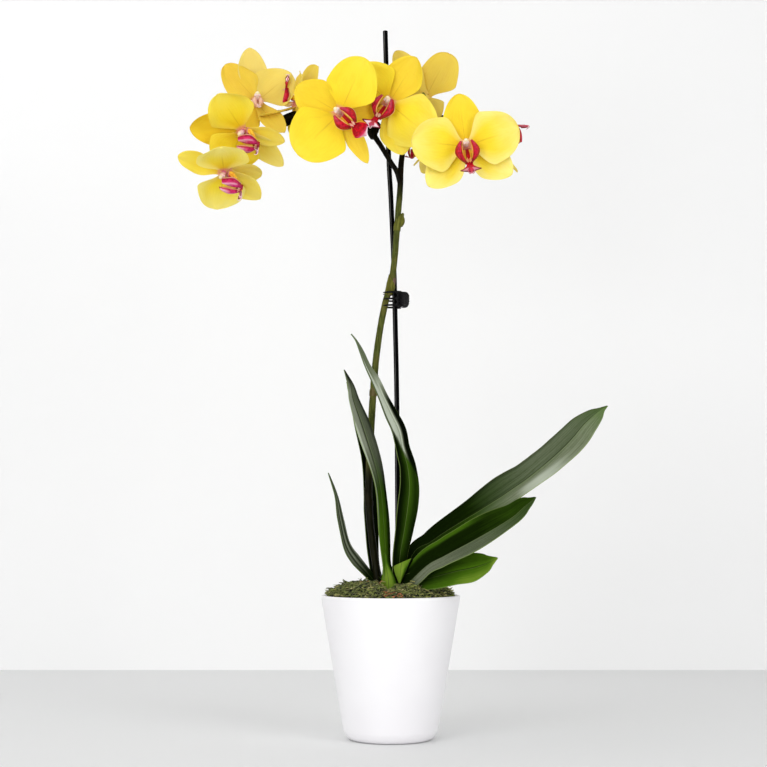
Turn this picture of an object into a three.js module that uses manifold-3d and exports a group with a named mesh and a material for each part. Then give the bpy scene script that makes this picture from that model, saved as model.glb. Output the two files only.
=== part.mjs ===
// Potted moth orchid: a glazed pot of bark and moss, one forked flower spike tied to a stake by a claw clip, seven leaves and ten flowers.
// Millimetres, +Z up. The origin is the centre of the pot's flat base, and the viewer stands at -Y.
import * as THREE from "three";
import { mergeVertices } from "three/addons/utils/BufferGeometryUtils.js";
import Module from "manifold-3d";

const wasm = await Module();
wasm.setup();

// ---------------------------------------------------------------- driving dimensions
const POT_TOP_R = 65; // outer radius at the rim
const POT_FOOT_R = 43.4; // outer radius just above the foot's rounding
const POT_H = 131.5;
const POT_WALL = 4;
const POT_FLOOR = 5.5;
const GAP = 0.3; // between touching pieces
const MEDIUM_TOP = 118;
const STAKE_R = 2.35;
const STAKE_FOOT = 42; // how deep the stake's end stands, above the base
const TEPAL_T = 1.2; // petals and sepals at their middle
const LEAF_T = 2.2;
const CLIP_Z = 409; // height of the clip's middle
const HINGE_X = 10.2;
const HINGE_Y = 1.2;
const PIN_R = 0.8;
const PIN_HOLE_R = 0.88;
const KNUCKLE_R = 2.1;

// Each flower: where its centre is, how it is turned (yaw to the viewer's right, pitch down, roll clockwise), and its five tepals:
// kind, angle clockwise from the flower's top, length, width, tilt forward, bend forward, cup, ruffle.
const FLOWERS = [
  { at: [-155.3, -34, 524], yaw: 12, pitch: 50, roll: -80, scale: 0.95, tepals: [
    ['dorsal', -3.4, 42.2, 30.4, -24.0, 14.0, 0.16, 0.76],
    ['lateral', -162.4, 47.1, 32.3, -36.2, 16.0, 0.14, 0.76],
    ['lateral', -149.0, 46.8, 32.3, -9.1, 16.0, 0.14, 0.76],
    ['petal', 69.5, 46.9, 51.3, 24.8, 6.0, 0.05, 1.90],
    ['petal', -99.4, 47.0, 47.5, -10.7, 6.0, 0.05, 1.90],
  ] },
  { at: [-138.7, -26, 565.2], yaw: 8, pitch: 38, roll: -84, scale: 0.95, tepals: [
    ['dorsal', -7.1, 47.2, 38.0, -10.1, 14.0, 0.16, 0.76],
    ['lateral', -173.7, 38.3, 22.8, -2.1, 16.0, 0.14, 0.76],
    ['lateral', -145.9, 49.1, 26.6, -2.0, 16.0, 0.14, 0.76],
    ['petal', 53.2, 46.9, 47.5, 13.6, 6.0, 0.05, 1.90],
    ['petal', -72.6, 38.2, 53.2, 3.0, 6.0, 0.05, 1.90],
  ] },
  { at: [-127.7, -4, 600.4], yaw: 10, pitch: -12, roll: -4, scale: 0.95, tepals: [
    ['dorsal', -3.5, 52.8, 33.2, -0.1, 14.0, 0.16, 0.76],
    ['lateral', 152.6, 46.9, 26.6, 13.1, 16.0, 0.14, 0.76],
    ['lateral', -150.9, 47.0, 32.3, 4.9, 16.0, 0.14, 0.76],
    ['petal', 52.4, 41.8, 45.6, 2.7, 6.0, 0.05, 1.90],
    ['petal', -37.7, 43.9, 36.1, 2.9, 6.0, 0.05, 1.90],
  ] },
  { at: [-93, 8, 600.9], yaw: -50, pitch: -8, roll: -165, scale: 0.9, tepals: [
    ['dorsal', -6.1, 40.9, 27.0, 54.3, 14.0, 0.16, 0.72],
    ['lateral', -143.2, 44.4, 41.4, -0.4, 16.0, 0.14, 0.72],
    ['lateral', -52.2, 44.6, 27.0, -27.5, 16.0, 0.14, 0.72],
    ['petal', -120.6, 44.4, 36.0, 27.0, 6.0, 0.05, 1.80],
    ['petal', -45.0, 44.5, 39.6, -7.5, 6.0, 0.05, 1.80],
  ] },
  { at: [-47.1, -40, 578.5], yaw: -8, pitch: 5, roll: -50, scale: 1.03, tepals: [
    ['dorsal', -8.2, 46.2, 43.3, -1.2, 14.0, 0.16, 0.82],
    ['lateral', 129.6, 34.7, 35.0, -40.9, 16.0, 0.14, 0.82],
    ['lateral', -158.5, 52.5, 20.6, -2.3, 16.0, 0.14, 0.82],
    ['petal', 75.8, 52.8, 52.5, 3.0, 6.0, 0.05, 2.06],
    ['petal', -84.0, 53.0, 62.8, 6.0, 6.0, 0.05, 2.06],
  ] },
  { at: [-2.3, -22, 593.2], yaw: -14, pitch: 5, roll: 28, scale: 1.02, tepals: [
    ['dorsal', 7.4, 47.5, 43.9, -1.2, 14.0, 0.16, 0.82],
    ['lateral', 135.6, 49.9, 40.8, -1.7, 16.0, 0.14, 0.82],
    ['lateral', -129.0, 50.0, 37.7, -6.0, 16.0, 0.14, 0.82],
    ['petal', 102.2, 54.5, 57.1, 2.6, 6.0, 0.05, 2.04],
    ['petal', -68.3, 43.1, 53.0, 3.0, 6.0, 0.05, 2.04],
  ] },
  { at: [34.7, 18, 608.7], yaw: 162, pitch: 8, roll: 37, scale: 0.95, tepals: [
    ['dorsal', -5.3, 54.9, 30.4, -16.5, 14.0, 0.16, 0.76],
    ['lateral', 178.2, 46.8, 28.5, -43.3, 16.0, 0.14, 0.76],
    ['lateral', 134.5, 39.4, 28.5, -2.2, 16.0, 0.14, 0.76],
    ['petal', -60.2, 49.7, 46.2, 2.8, 6.0, 0.05, 1.90],
    ['petal', 65.3, 47.0, 36.1, 34.6, 6.0, 0.05, 1.90],
  ] },
  { at: [70.2, -38, 547.7], yaw: 0, pitch: 3, roll: -8, scale: 1, tepals: [
    ['dorsal', 0.0, 47.0, 40.0, -4.0, 14.0, 0.16, 0.80],
    ['lateral', 129.0, 48.0, 43.0, -6.0, 16.0, 0.14, 0.80],
    ['lateral', -129.0, 49.0, 43.0, -6.0, 16.0, 0.14, 0.80],
    ['petal', 80.0, 49.0, 55.0, 6.0, 6.0, 0.05, 2.00],
    ['petal', -79.0, 49.0, 55.0, 6.0, 6.0, 0.05, 2.00],
  ] },
  { at: [108.4, 8, 559.5], yaw: 60, pitch: -6, roll: 155, scale: 0.75, tepals: [
    ['dorsal', 28.3, 30.7, 16.5, 21.8, 14.0, 0.16, 0.60],
    ['lateral', 136.2, 37.1, 18.0, -4.6, 16.0, 0.14, 0.60],
    ['lateral', -120.8, 37.1, 18.0, -2.8, 16.0, 0.14, 0.60],
    ['petal', 57.8, 37.1, 25.5, 1.5, 6.0, 0.05, 1.50],
    ['petal', -127.3, 37.2, 25.5, -4.9, 6.0, 0.05, 1.50],
  ] },
  { at: [33.7, 20, 559.6], yaw: -66, pitch: 20, roll: 30, scale: 0.8, tepals: [
    ['dorsal', 18.2, 38.0, 24.0, -18.3, 14.0, 0.16, 0.64],
    ['lateral', 139.7, 22.7, 25.6, 56.7, 16.0, 0.14, 0.64],
    ['lateral', -144.4, 39.7, 24.0, -17.2, 16.0, 0.14, 0.64],
    ['petal', 22.7, 39.6, 27.2, -0.7, 6.0, 0.05, 1.60],
    ['petal', 98.0, 39.6, 27.2, 13.7, 6.0, 0.05, 1.60],
  ] },
];
const LEAVES = [
  [
    [-11.7, 4, 139.6, 7, 55, 9],
    [-20.1, 3, 148.9, 7.5, 60, 9],
    [-33.2, 2, 163.8, 8, 58, 9],
    [-41.6, 1, 177.7, 7.6, 62, 9],
    [-47.2, -1, 201, 6.6, 68, 9],
    [-51, -2, 222.4, 5.2, 72, 9],
    [-58.1, -3, 244.8, 0.8, 74, 5],
  ],
  [
    [-10.8, 14, 135.5, 7, 40, 9],
    [-15.3, 19, 155.9, 8, 55, 9],
    [-18, 23, 178.4, 10.5, 56, 9],
    [-19, 25, 207.7, 12, 56, 9],
    [-19.5, 25, 227.6, 12, 57, 9],
    [-22.8, 23, 259.9, 11.5, 58, 9],
    [-30.5, 20, 295.1, 10, 60, 9],
    [-38.1, 17, 320.7, 5, 62, 9],
    [-41.4, 16, 332.1, 0.8, 62, 5],
  ],
  [
    [-0.6, -4, 138.1, 8, 45, 9],
    [-4.1, -10, 158.6, 7.7, 58, 9],
    [-6, -14, 178.9, 9.2, 60, 9],
    [-7.7, -19, 207.4, 9.7, 60, 9],
    [-10, -21, 229.4, 10, 60, 9],
    [-14.4, -22, 249.7, 11.8, 60, 9],
    [-23.1, -23, 277.3, 13.8, 60, 9],
    [-28, -23, 292.2, 13.8, 60, 9],
    [-34.7, -23.5, 311.6, 10.3, 61, 9],
    [-37.7, -24, 325.5, 6.1, 63, 9],
    [-43, -24, 339.7, 0.8, 66, 5],
  ],
  [
    [6.9, 0, 139.8, 9, 45, 9],
    [7.8, -8, 167.7, 11.3, 52, 9],
    [11.7, -12, 191.7, 13.3, 53, 9],
    [14.7, -16, 212, 14.8, 50, 9],
    [16.4, -18, 231.3, 14.6, 50, 9],
    [15, -19, 248.9, 12.8, 51, 9],
    [12.2, -20, 259.9, 11.7, 52, 9],
    [9.8, -20, 269.2, 11.2, 55, 9],
    [6.7, -21, 283.9, 10.8, 53, 9],
    [-0.2, -21, 298.8, 9.6, 51, 9],
    [-7.5, -21.5, 314.6, 7.5, 50, 9],
    [-14.8, -22, 330.4, 6.8, 50, 9],
    [-21.8, -22, 343.4, 4.5, 51, 9],
    [-27.5, -22, 357.4, 3.3, 54, 9],
    [-31.9, -22, 366.8, 1.6, 58, 7],
    [-36.6, -22, 373.4, 0.8, 62, 5],
  ],
  [
    [8.8, 6, 139.6, 8, -50, 12],
    [21.9, 9, 170.5, 11.9, -63.9, 10.7],
    [36.9, 8, 180.3, 17.4, -66, 10.3],
    [48.7, 6.1, 188.8, 20.5, -66, 9.9],
    [66.9, 2, 200.7, 24.6, -66, 9.4],
    [83.8, -2, 211.4, 28.8, -65.5, 9],
    [102.1, -5, 223.5, 31.5, -65, 8],
    [113.5, -6.5, 231.1, 30.3, -64.8, 7.4],
    [125.2, -8, 238.6, 28.4, -64.6, 6.6],
    [134.6, -8.5, 245.3, 28.8, -64.4, 5.9],
    [144, -9, 252.5, 29.7, -64.2, 5.1],
    [153.5, -8.5, 260.6, 29.5, -64.1, 4.4],
    [163.2, -8, 269.7, 29.1, -63.6, 3.6],
    [172.5, -6.5, 279.6, 26.4, -62.9, 2.7],
    [181.5, -5.1, 290.2, 21.5, -62.2, 1.9],
    [192, -2.8, 299.7, 13.1, -61.4, 1],
    [198.4, -1.4, 304.3, 5.3, -61, 0.5],
    [204.3, 0, 308.1, 0.8, -61, 0],
  ],
  [
    [8.6, -12, 136.6, 10, -45, 12],
    [31.2, -33, 159.9, 17.9, -58, 10],
    [49, -44, 170.8, 22.6, -60, 10],
    [71, -54, 183.3, 23.9, -59, 9],
    [93, -62, 196.1, 21.3, -58, 7],
    [107.9, -66, 205.3, 16.4, -57, 5],
    [117.6, -68, 213.3, 12, -56, 4],
    [123.7, -69.5, 217.4, 6, -55, 2],
    [128.7, -70, 221, 0.8, -55, 0],
  ],
  [
    [12.2, -18, 142.4, 8, -30, 10],
    [35.6, -36, 148.5, 12, -32, 10],
    [57.8, -47, 154.7, 14.3, -32, 8],
    [72.8, -53, 158, 14.4, -32, 6],
    [84, -59, 161.7, 9.9, -32, 4],
    [89.6, -62, 164.6, 4.9, -32, 2],
    [94.7, -64, 167.2, 0.8, -32, 0],
  ],
];
const STAKE = [
  [-4.9, 4, 671.4],
  [-1.8, 4, 554.6],
  [0.6, 4, 505.8],
  [3.4, 4, 438.1],
  [4.3, 4, 399.7],
  [6.1, 4, 304.4],
  [6.9, 4, 145.2],
];
const STEM = [
  [-10.8, 2, 126.8, 3.6],
  [-12.7, 3, 149.9, 3.5],
  [-19.3, 8, 201, 3.4],
  [-20.3, 9, 238.6, 3.3],
  [-18.4, 8, 285.7, 3.3],
  [-14.7, 6, 342.6, 3.2],
  [-9.9, 3, 380.4, 3.1],
  [-4.2, 0, 408.6, 3],
  [0.5, -2, 422.7, 3],
  [4.3, -3, 451.3, 2.9],
  [7.2, -1, 490.2, 2.9],
  [9.2, 1, 514.9, 2.8],
  [10.2, 3, 539.7, 2.7],
  [12.1, 4, 554.6, 2.6],
];
const LEFT_BRANCH = [
  [9.6, 1.5, 520.8, 2.6],
  [6.3, 0, 532.1, 2.4],
  [1.5, -2.2, 539.4, 2.3],
  [-3.3, -3.2, 546.9, 2.3],
  [-9, -2.4, 556.8, 2.4],
  [-14.7, 0, 566.3, 2.7],
  [-18.6, 3, 573.9, 3.6],
  [-24.4, 6, 579.6, 3],
  [-39, 11, 590.8, 2.5],
  [-61.3, 14, 595.6, 2.5],
  [-82.5, 12, 594.1, 2.5],
  [-93.8, 6, 589.4, 3.4],
  [-104.9, 1, 581.7, 3.9],
  [-119.1, -1, 568.9, 2.3],
  [-127.6, -1, 556.2, 2.1],
  [-134, -3, 545, 1.9],
];
const RIGHT_BRANCH = [
  [12.1, 4, 554.6, 2.6],
  [18, 8, 569.3, 2.5],
  [27.7, 10, 581.7, 2.4],
  [44.1, 9, 588.3, 2.2],
  [65.2, 7, 583.8, 2],
  [84.3, 6, 574.7, 1.8],
];
// Each lip: slope of its midlobe below straight ahead, size, how closed its side lobes are, how far it is carried from the column (x, y, z), half width of the midlobe, how round that is.
const LIPS = [
  [-6, 1, 1, -4.0, -4.9, -0.8, 5, 0],
  [-6, 1, 1, -6.5, -4.6, 1.1, 5, 0],
  [30, 0.55, 0.6, 0.0, 0.0, 0.0, 5, 0],
  [85, 0.8, 0.5, 2.8, -3.6, 1.3, 5, 0],
  [70, 1.06, 0.3, -1.2, 0.0, -3.8, 8, 1],
  [46, 1.06, 0, 0.0, 0.0, 0.0, 10, 0],
  [40, 0.6, 0.8, -1.4, 2.7, 9.7, 5, 0],
  [44, 1.06, 0, -0.1, -0.1, -1.0, 10, 0],
  [-20, 0.95, 0.8, -4.0, -5.3, -1.9, 6, 0],
  [-25, 0.5, 0.8, -4.9, -8.2, 0.6, 5, 0],
];
// pedicels: the points from just behind each flower to the branch that carries it
const PEDICELS = [
  [[-156.1, -30.3, 528.5], [-156.8, -27.1, 532.4], [-142.6, -12, 538], [-134, -3, 545]],
  [[-139.4, -21.4, 568.8], [-139.9, -17.4, 571.9], [-129.9, -8, 565.1], [-122.9, -1, 564]],
  [[-128.7, 1.7, 599.1], [-129.5, 6.6, 598.1], [-123.7, 7, 594.7], [-113.9, 6, 583.5], [-104.9, 1, 581.2]],
  [[-88.5, 11.8, 600], [-84.6, 15, 599.3], [-86.4, 12, 599], [-75.8, 13, 594.9]],
  [[-46.3, -34.2, 579.1], [-45.6, -29.1, 579.5], [-43.2, -14, 586.8], [-36.9, 4, 589.9], [-32.2, 9, 586.3]],
  [[-0.9, -16.3, 593.7], [0.3, -11.4, 594.2], [1.5, -1, 590.4], [8.3, 4, 574.2], [11.2, 4, 552.6]],
  [[32.9, 12.4, 609.5], [31.4, 7.6, 610.2], [30.5, 7, 597.6], [25.7, 8, 587], [21.8, 9, 574.5]],
  [[70.2, -32.1, 548], [70.2, -27, 548.3], [68.2, -24, 556.1], [58.8, -4, 573], [50.8, 8, 587]],
  [[103.3, 10.9, 558.9], [99, 13.5, 558.4], [99.6, 6, 563.9], [84.3, 6, 574.7]],
  [[38.7, 22.3, 561.6], [43.1, 24.2, 563.4], [42.5, 22, 566.1], [38.4, 14, 578.8], [29.6, 10, 582.7]],
];

// ---------------------------------------------------------------- curves and surfaces
const rad = THREE.MathUtils.degToRad;
const sstep = (x) => {
  x = Math.min(1, Math.max(0, x));
  return x * x * (3 - 2 * x);
};
const V3 = (x, y, z) => new THREE.Vector3(x, y, z);
const KIND = {
  petal: { c0: 0.17, ur: 0.46, n: 3.0, e: 0.5, back: 0.16, y0: 0 },
  dorsal: { c0: 0.34, ur: 0.62, n: 2.7, e: 0.55, back: 0.05, y0: 2.1 },
  lateral: { c0: 0.36, ur: 0.62, n: 2.4, e: 0.6, back: 0.05, y0: 2.1 },
};

// A petal or sepal's surface as rows of points, in the flower's own frame: x right, y away from the viewer, z up.
function tepalGrid([kind, ang, L, W, tilt, bend, cup, ruf], seed, nu, nv) {
  const k = KIND[kind],
    th = rad(ang),
    a = V3(Math.sin(th), 0, Math.cos(th)),
    b = V3(Math.cos(th), 0, -Math.sin(th)),
    f = V3(0, -1, 0),
    r0 = 2.5,
    rows = [];
  const along = (u) => {
    let x = 0,
      y = 0;
    const n = 40;
    for (let i = 0; i < n; i++) {
      const p = rad(tilt) + rad(bend) * u * ((i + 0.5) / n);
      x += (Math.cos(p) * L * u) / n;
      y += (Math.sin(p) * L * u) / n;
    }
    return [x, y];
  };
  for (let i = 0; i <= nu; i++) {
    const u = Math.pow(Math.sin(((i / nu) * Math.PI) / 2), 1.15),
      p = rad(tilt) + rad(bend) * u,
      [cx, cf] = along(u),
      c = a.clone().multiplyScalar(r0 + cx).addScaledVector(f, cf),
      n = a.clone().multiplyScalar(-Math.sin(p)).addScaledVector(f, Math.cos(p)),
      t = a.clone().multiplyScalar(Math.cos(p)).addScaledVector(f, Math.sin(p)),
      w = (W / 2) * (k.c0 + (1 - k.c0) * sstep(u / k.ur)) * Math.pow(Math.max(0, 1 - Math.pow(u, k.n)), k.e),
      row = [];
    for (let j = 0; j <= nv; j++) {
      const v = (2 * j) / nv - 1,
        q = v * w,
        h =
          cup * w * v * v +
          ruf * Math.pow(Math.abs(v), 2.5) * sstep(u / 0.5) * Math.sin(seed + u * 7.5 + (v > 0 ? 2.1 : 0) + v * 1.3) * Math.min(1, w / (W * 0.25)) -
          0.6 * Math.exp(-Math.pow(q / 2.2, 2)) * sstep(u / 0.15) * (1 - u);
      row.push(
        c
          .clone()
          .addScaledVector(b, q * (1 - 0.1 * cup * v * v))
          .addScaledVector(n, h)
          .addScaledVector(t, -k.back * w * v * v * (1 - u))
          .add(V3(0, k.y0, 0))
      );
    }
    rows.push(row);
  }
  return rows;
}

// Catmull-Rom through rows of numbers, at n even steps of the parameter.
function catmull(pts, n) {
  const k = pts.length,
    ext = (a, b) => a.map((x, i) => 2 * x - b[i]),
    P = [ext(pts[0], pts[1]), ...pts, ext(pts[k - 1], pts[k - 2])],
    out = [];
  for (let m = 0; m < n; m++) {
    const s = ((k - 1) * m) / (n - 1),
      i = Math.min(Math.floor(s), k - 2),
      t = s - i,
      [p0, p1, p2, p3] = [P[i], P[i + 1], P[i + 2], P[i + 3]];
    out.push(p0.map((_, d) => 0.5 * (2 * p1[d] + (p2[d] - p0[d]) * t + (2 * p0[d] - 5 * p1[d] + 4 * p2[d] - p3[d]) * t * t + (3 * p1[d] - p0[d] - 3 * p2[d] + p3[d]) * t * t * t)));
  }
  return out;
}

// The same points at even steps of length.
function even(pts, n) {
  const fine = catmull(pts, pts.length * 8 + 1),
    len = [0];
  for (let i = 1; i < fine.length; i++) len.push(len[i - 1] + Math.hypot(...[0, 1, 2].map((d) => fine[i][d] - fine[i - 1][d])));
  return Array.from({ length: n }, (_, m) => {
    const s = (len[len.length - 1] * m) / (n - 1);
    let i = 0;
    while (i < fine.length - 2 && len[i + 1] < s) i++;
    const t = Math.min(1, Math.max(0, (s - len[i]) / (len[i + 1] - len[i] || 1)));
    return fine[i].map((x, d) => x + (fine[i + 1][d] - x) * t);
  });
}

// A leaf: rows x, y, z, half width, turn of the blade (0 faces the viewer, 90 is edge on), fold along the midrib.
function leafGrid(ctrl, nu, nv) {
  const R = even(ctrl, nu + 1),
    at = (i) => V3(R[i][0], R[i][1], R[i][2]);
  return R.map((r, i) => {
    const t = at(Math.min(i + 1, nu)).sub(at(Math.max(i - 1, 0))).normalize(),
      side0 = t.clone().cross(V3(0, -1, 0)).normalize(),
      n0 = side0.clone().cross(t),
      al = rad(r[4]),
      kk = rad(r[5]),
      side = side0.clone().multiplyScalar(Math.cos(al)).addScaledVector(n0, -Math.sin(al)),
      n = n0.clone().multiplyScalar(Math.cos(al)).addScaledVector(side0, Math.sin(al));
    return Array.from({ length: nv + 1 }, (_, j) => {
      const v = (2 * j) / nv - 1,
        q = kk * (1 - 0.35 * Math.abs(v));
      return at(i)
        .addScaledVector(side, r[3] * v * Math.cos(q))
        .addScaledVector(n, r[3] * Math.abs(v) * Math.sin(q));
    });
  });
}

// ---------------------------------------------------------------- solids
// A triangle list becomes a solid, with points closer than a micron made one.
function solid(points, tris) {
  const g = new THREE.BufferGeometry();
  g.setAttribute("position", new THREE.BufferAttribute(new Float32Array(points.flatMap((p) => [p.x, p.y, p.z])), 3));
  g.setIndex(tris.flat());
  return fromGeometry(g);
}
function fromGeometry(geometry) {
  const g = geometry.index ? geometry : geometry.clone();
  for (const name of Object.keys(g.attributes)) if (name !== "position") g.deleteAttribute(name);
  const m = mergeVertices(g, 1e-4),
    idx = m.index.array,
    keep = [];
  for (let i = 0; i < idx.length; i += 3) {
    const [a, b, c] = [idx[i], idx[i + 1], idx[i + 2]];
    if (a !== b && b !== c && a !== c) keep.push(a, b, c);
  }
  const s = new wasm.Manifold(new wasm.Mesh({ numProp: 3, vertProperties: new Float32Array(m.attributes.position.array), triVerts: new Uint32Array(keep) }));
  if (s.volume() < 0) {
    for (let i = 0; i < keep.length; i += 3) [keep[i + 1], keep[i + 2]] = [keep[i + 2], keep[i + 1]];
    return new wasm.Manifold(new wasm.Mesh({ numProp: 3, vertProperties: new Float32Array(m.attributes.position.array), triVerts: new Uint32Array(keep) }));
  }
  return s;
}

// A thin closed blade around a grid of points: full thickness at the middle, thinner at the edges, and grown all round by grow.
function blade(P, thick, grow = 0) {
  const nu = P.length - 1,
    nv = P[0].length - 1,
    top = [],
    low = [];
  for (let i = 0; i <= nu; i++) {
    top.push([]);
    low.push([]);
    for (let j = 0; j <= nv; j++) {
      const ii = i === nu ? nu - 1 : i,
        du = P[Math.min(ii + 1, nu)][j].clone().sub(P[Math.max(ii - 1, 0)][j]),
        dv = P[ii][Math.min(j + 1, nv)].clone().sub(P[ii][Math.max(j - 1, 0)]),
        n = du.cross(dv).normalize(),
        v = (2 * j) / nv - 1,
        tt = (thick * (i === nu ? 0.45 : 1 - 0.55 * v * v)) / 2 + grow,
        p = P[i][j].clone();
      if (grow) {
        const out = V3(0, 0, 0);
        if (j === 0 || j === nv) out.add(P[ii][j].clone().sub(P[ii][nv / 2]).normalize());
        if (i === nu) out.add(P[nu][j].clone().sub(P[nu - 1][Math.round(nv / 2)]).normalize());
        if (i === 0) out.add(P[0][j].clone().sub(P[1][j]).normalize());
        if (out.length() > 0) p.addScaledVector(out.normalize(), grow);
      }
      top[i].push(p.clone().addScaledVector(n, tt));
      low[i].push(p.clone().addScaledVector(n, -tt));
    }
  }
  const points = [],
    id = (rows) => rows.map((row) => row.map((p) => points.push(p) - 1)),
    T = id(top),
    B = id(low),
    tris = [];
  const quad = (a, b, c, d) => tris.push([a, b, c], [a, c, d]);
  for (let i = 0; i < nu; i++)
    for (let j = 0; j < nv; j++) {
      quad(T[i][j], T[i + 1][j], T[i + 1][j + 1], T[i][j + 1]);
      quad(B[i][j], B[i][j + 1], B[i + 1][j + 1], B[i + 1][j]);
    }
  for (let i = 0; i < nu; i++) {
    quad(T[i][0], B[i][0], B[i + 1][0], T[i + 1][0]);
    quad(T[i][nv], T[i + 1][nv], B[i + 1][nv], B[i][nv]);
  }
  for (let j = 0; j < nv; j++) {
    quad(T[0][j], T[0][j + 1], B[0][j + 1], B[0][j]);
    quad(T[nu][j], B[nu][j], B[nu][j + 1], T[nu][j + 1]);
  }
  return solid(points, tris);
}

// A closed round rod through points [x, y, z], with a radius at each.
function rod(pts, radii, sides = 8) {
  const P = pts.map((p) => V3(p[0], p[1], p[2])),
    points = [],
    rings = [];
  let u = null;
  P.forEach((p, i) => {
    const t = P[Math.min(i + 1, P.length - 1)].clone().sub(P[Math.max(i - 1, 0)]).normalize();
    if (!u) u = Math.abs(t.z) < 0.9 ? t.clone().cross(V3(0, 0, 1)).normalize() : t.clone().cross(V3(0, 1, 0)).normalize();
    u = u.clone().addScaledVector(t, -u.dot(t)).normalize();
    const w = t.clone().cross(u);
    rings.push(
      Array.from({ length: sides }, (_, k) => {
        const a = (2 * Math.PI * k) / sides;
        return points.push(p.clone().addScaledVector(u, Math.cos(a) * radii[i]).addScaledVector(w, Math.sin(a) * radii[i])) - 1;
      })
    );
  });
  const tris = [];
  for (let i = 0; i < rings.length - 1; i++)
    for (let k = 0; k < sides; k++) {
      const m = (k + 1) % sides;
      tris.push([rings[i][k], rings[i][m], rings[i + 1][m]], [rings[i][k], rings[i + 1][m], rings[i + 1][k]]);
    }
  for (const [ring, flip] of [
    [rings[0], true],
    [rings[rings.length - 1], false],
  ])
    for (let k = 1; k < sides - 1; k++) tris.push(flip ? [ring[0], ring[k + 1], ring[k]] : [ring[0], ring[k], ring[k + 1]]);
  return solid(points, tris);
}

// A body of revolution about the vertical through (x, y).
function turned(profile, segments = 40, x = 0, y = 0) {
  const g = new THREE.LatheGeometry(
    profile.map(([r, z]) => new THREE.Vector2(r, z)),
    segments
  );
  g.rotateX(Math.PI / 2);
  g.translate(x, y, 0);
  return fromGeometry(g);
}

// A plan outline raised from z0 to z1.
function raised(outline, z0, z1) {
  const g = new THREE.ExtrudeGeometry(new THREE.Shape(outline.map(([x, y]) => new THREE.Vector2(x, y))), { depth: z1 - z0, bevelEnabled: false, steps: 1 });
  g.translate(0, 0, z0);
  return fromGeometry(g);
}
const circle = (x, y, r, n) => Array.from({ length: n }, (_, k) => [x + r * Math.cos((2 * Math.PI * k) / n), y + r * Math.sin((2 * Math.PI * k) / n)]);
const join = (list) => list.reduce((a, b) => a.add(b));
const largest = (s) => s.decompose().sort((a, b) => b.volume() - a.volume())[0];

// ---------------------------------------------------------------- what is built, and the space each piece keeps for itself
const group = new THREE.Group();
const built = []; // { name, solid, room }: room is the solid grown by the gap
const overlaps = (a, b) => {
  const p = a.boundingBox(),
    q = b.boundingBox();
  return [0, 1, 2].every((d) => p.min[d] < q.max[d] && q.min[d] < p.max[d]);
};
function place(name, s, room, color, roughness, metalness = 0, tol = 0.12) {
  for (const other of built) if (other.room && overlaps(s, other.room)) s = s.subtract(other.room);
  s = largest(s.simplify(tol));
  built.push({ name, solid: s, room: room && room.simplify(0.02) });
  const m = s.getMesh(),
    g = new THREE.BufferGeometry();
  g.setAttribute("position", new THREE.BufferAttribute(new Float32Array(m.vertProperties), 3));
  g.setIndex(new THREE.BufferAttribute(new Uint32Array(m.triVerts), 1));
  g.computeVertexNormals();
  const mesh = new THREE.Mesh(g, new THREE.MeshStandardMaterial({ color, roughness, metalness }));
  mesh.name = name;
  group.add(mesh);
}

// ---------------------------------------------------------------- pot
const wallR = (z) => POT_FOOT_R + ((POT_TOP_R - POT_FOOT_R) * (z - 6.2)) / (POT_H - 6.2);
const innerR = (z) => wallR(z) - POT_WALL;
place(
  "pot",
  turned(
    [
      [0, 0], [35.5, 0], [38.3, 0.7], [40.6, 2.6], [42.3, 5.2], [wallR(8.4), 8.4],
      [wallR(POT_H - 1.2), POT_H - 1.2], [wallR(POT_H) - 1.1, POT_H],
      [innerR(POT_H) + 0.9, POT_H], [innerR(POT_H - 1.2), POT_H - 1.2],
      [innerR(12), 12], [innerR(8) - 2.5, POT_FLOOR + 1], [innerR(8) - 6, POT_FLOOR], [0, POT_FLOOR],
    ],
    36
  ),
  null,
  0xf4f5f6,
  0.3
);

// ---------------------------------------------------------------- stake, flower spike
const stakeAt = (grow) => rod([[STAKE[6][0] + 0.4, STAKE[6][1], STAKE_FOOT - grow], ...STAKE.slice(0, 7).reverse().slice(0, 6).map((p) => p.slice(0, 3)), [STAKE[0][0], STAKE[0][1], STAKE[0][2] + grow]], Array(8).fill(STAKE_R + grow), 8);
place("support_stake", stakeAt(0), stakeAt(GAP), 0x0b0b0c, 0.25);

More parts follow.
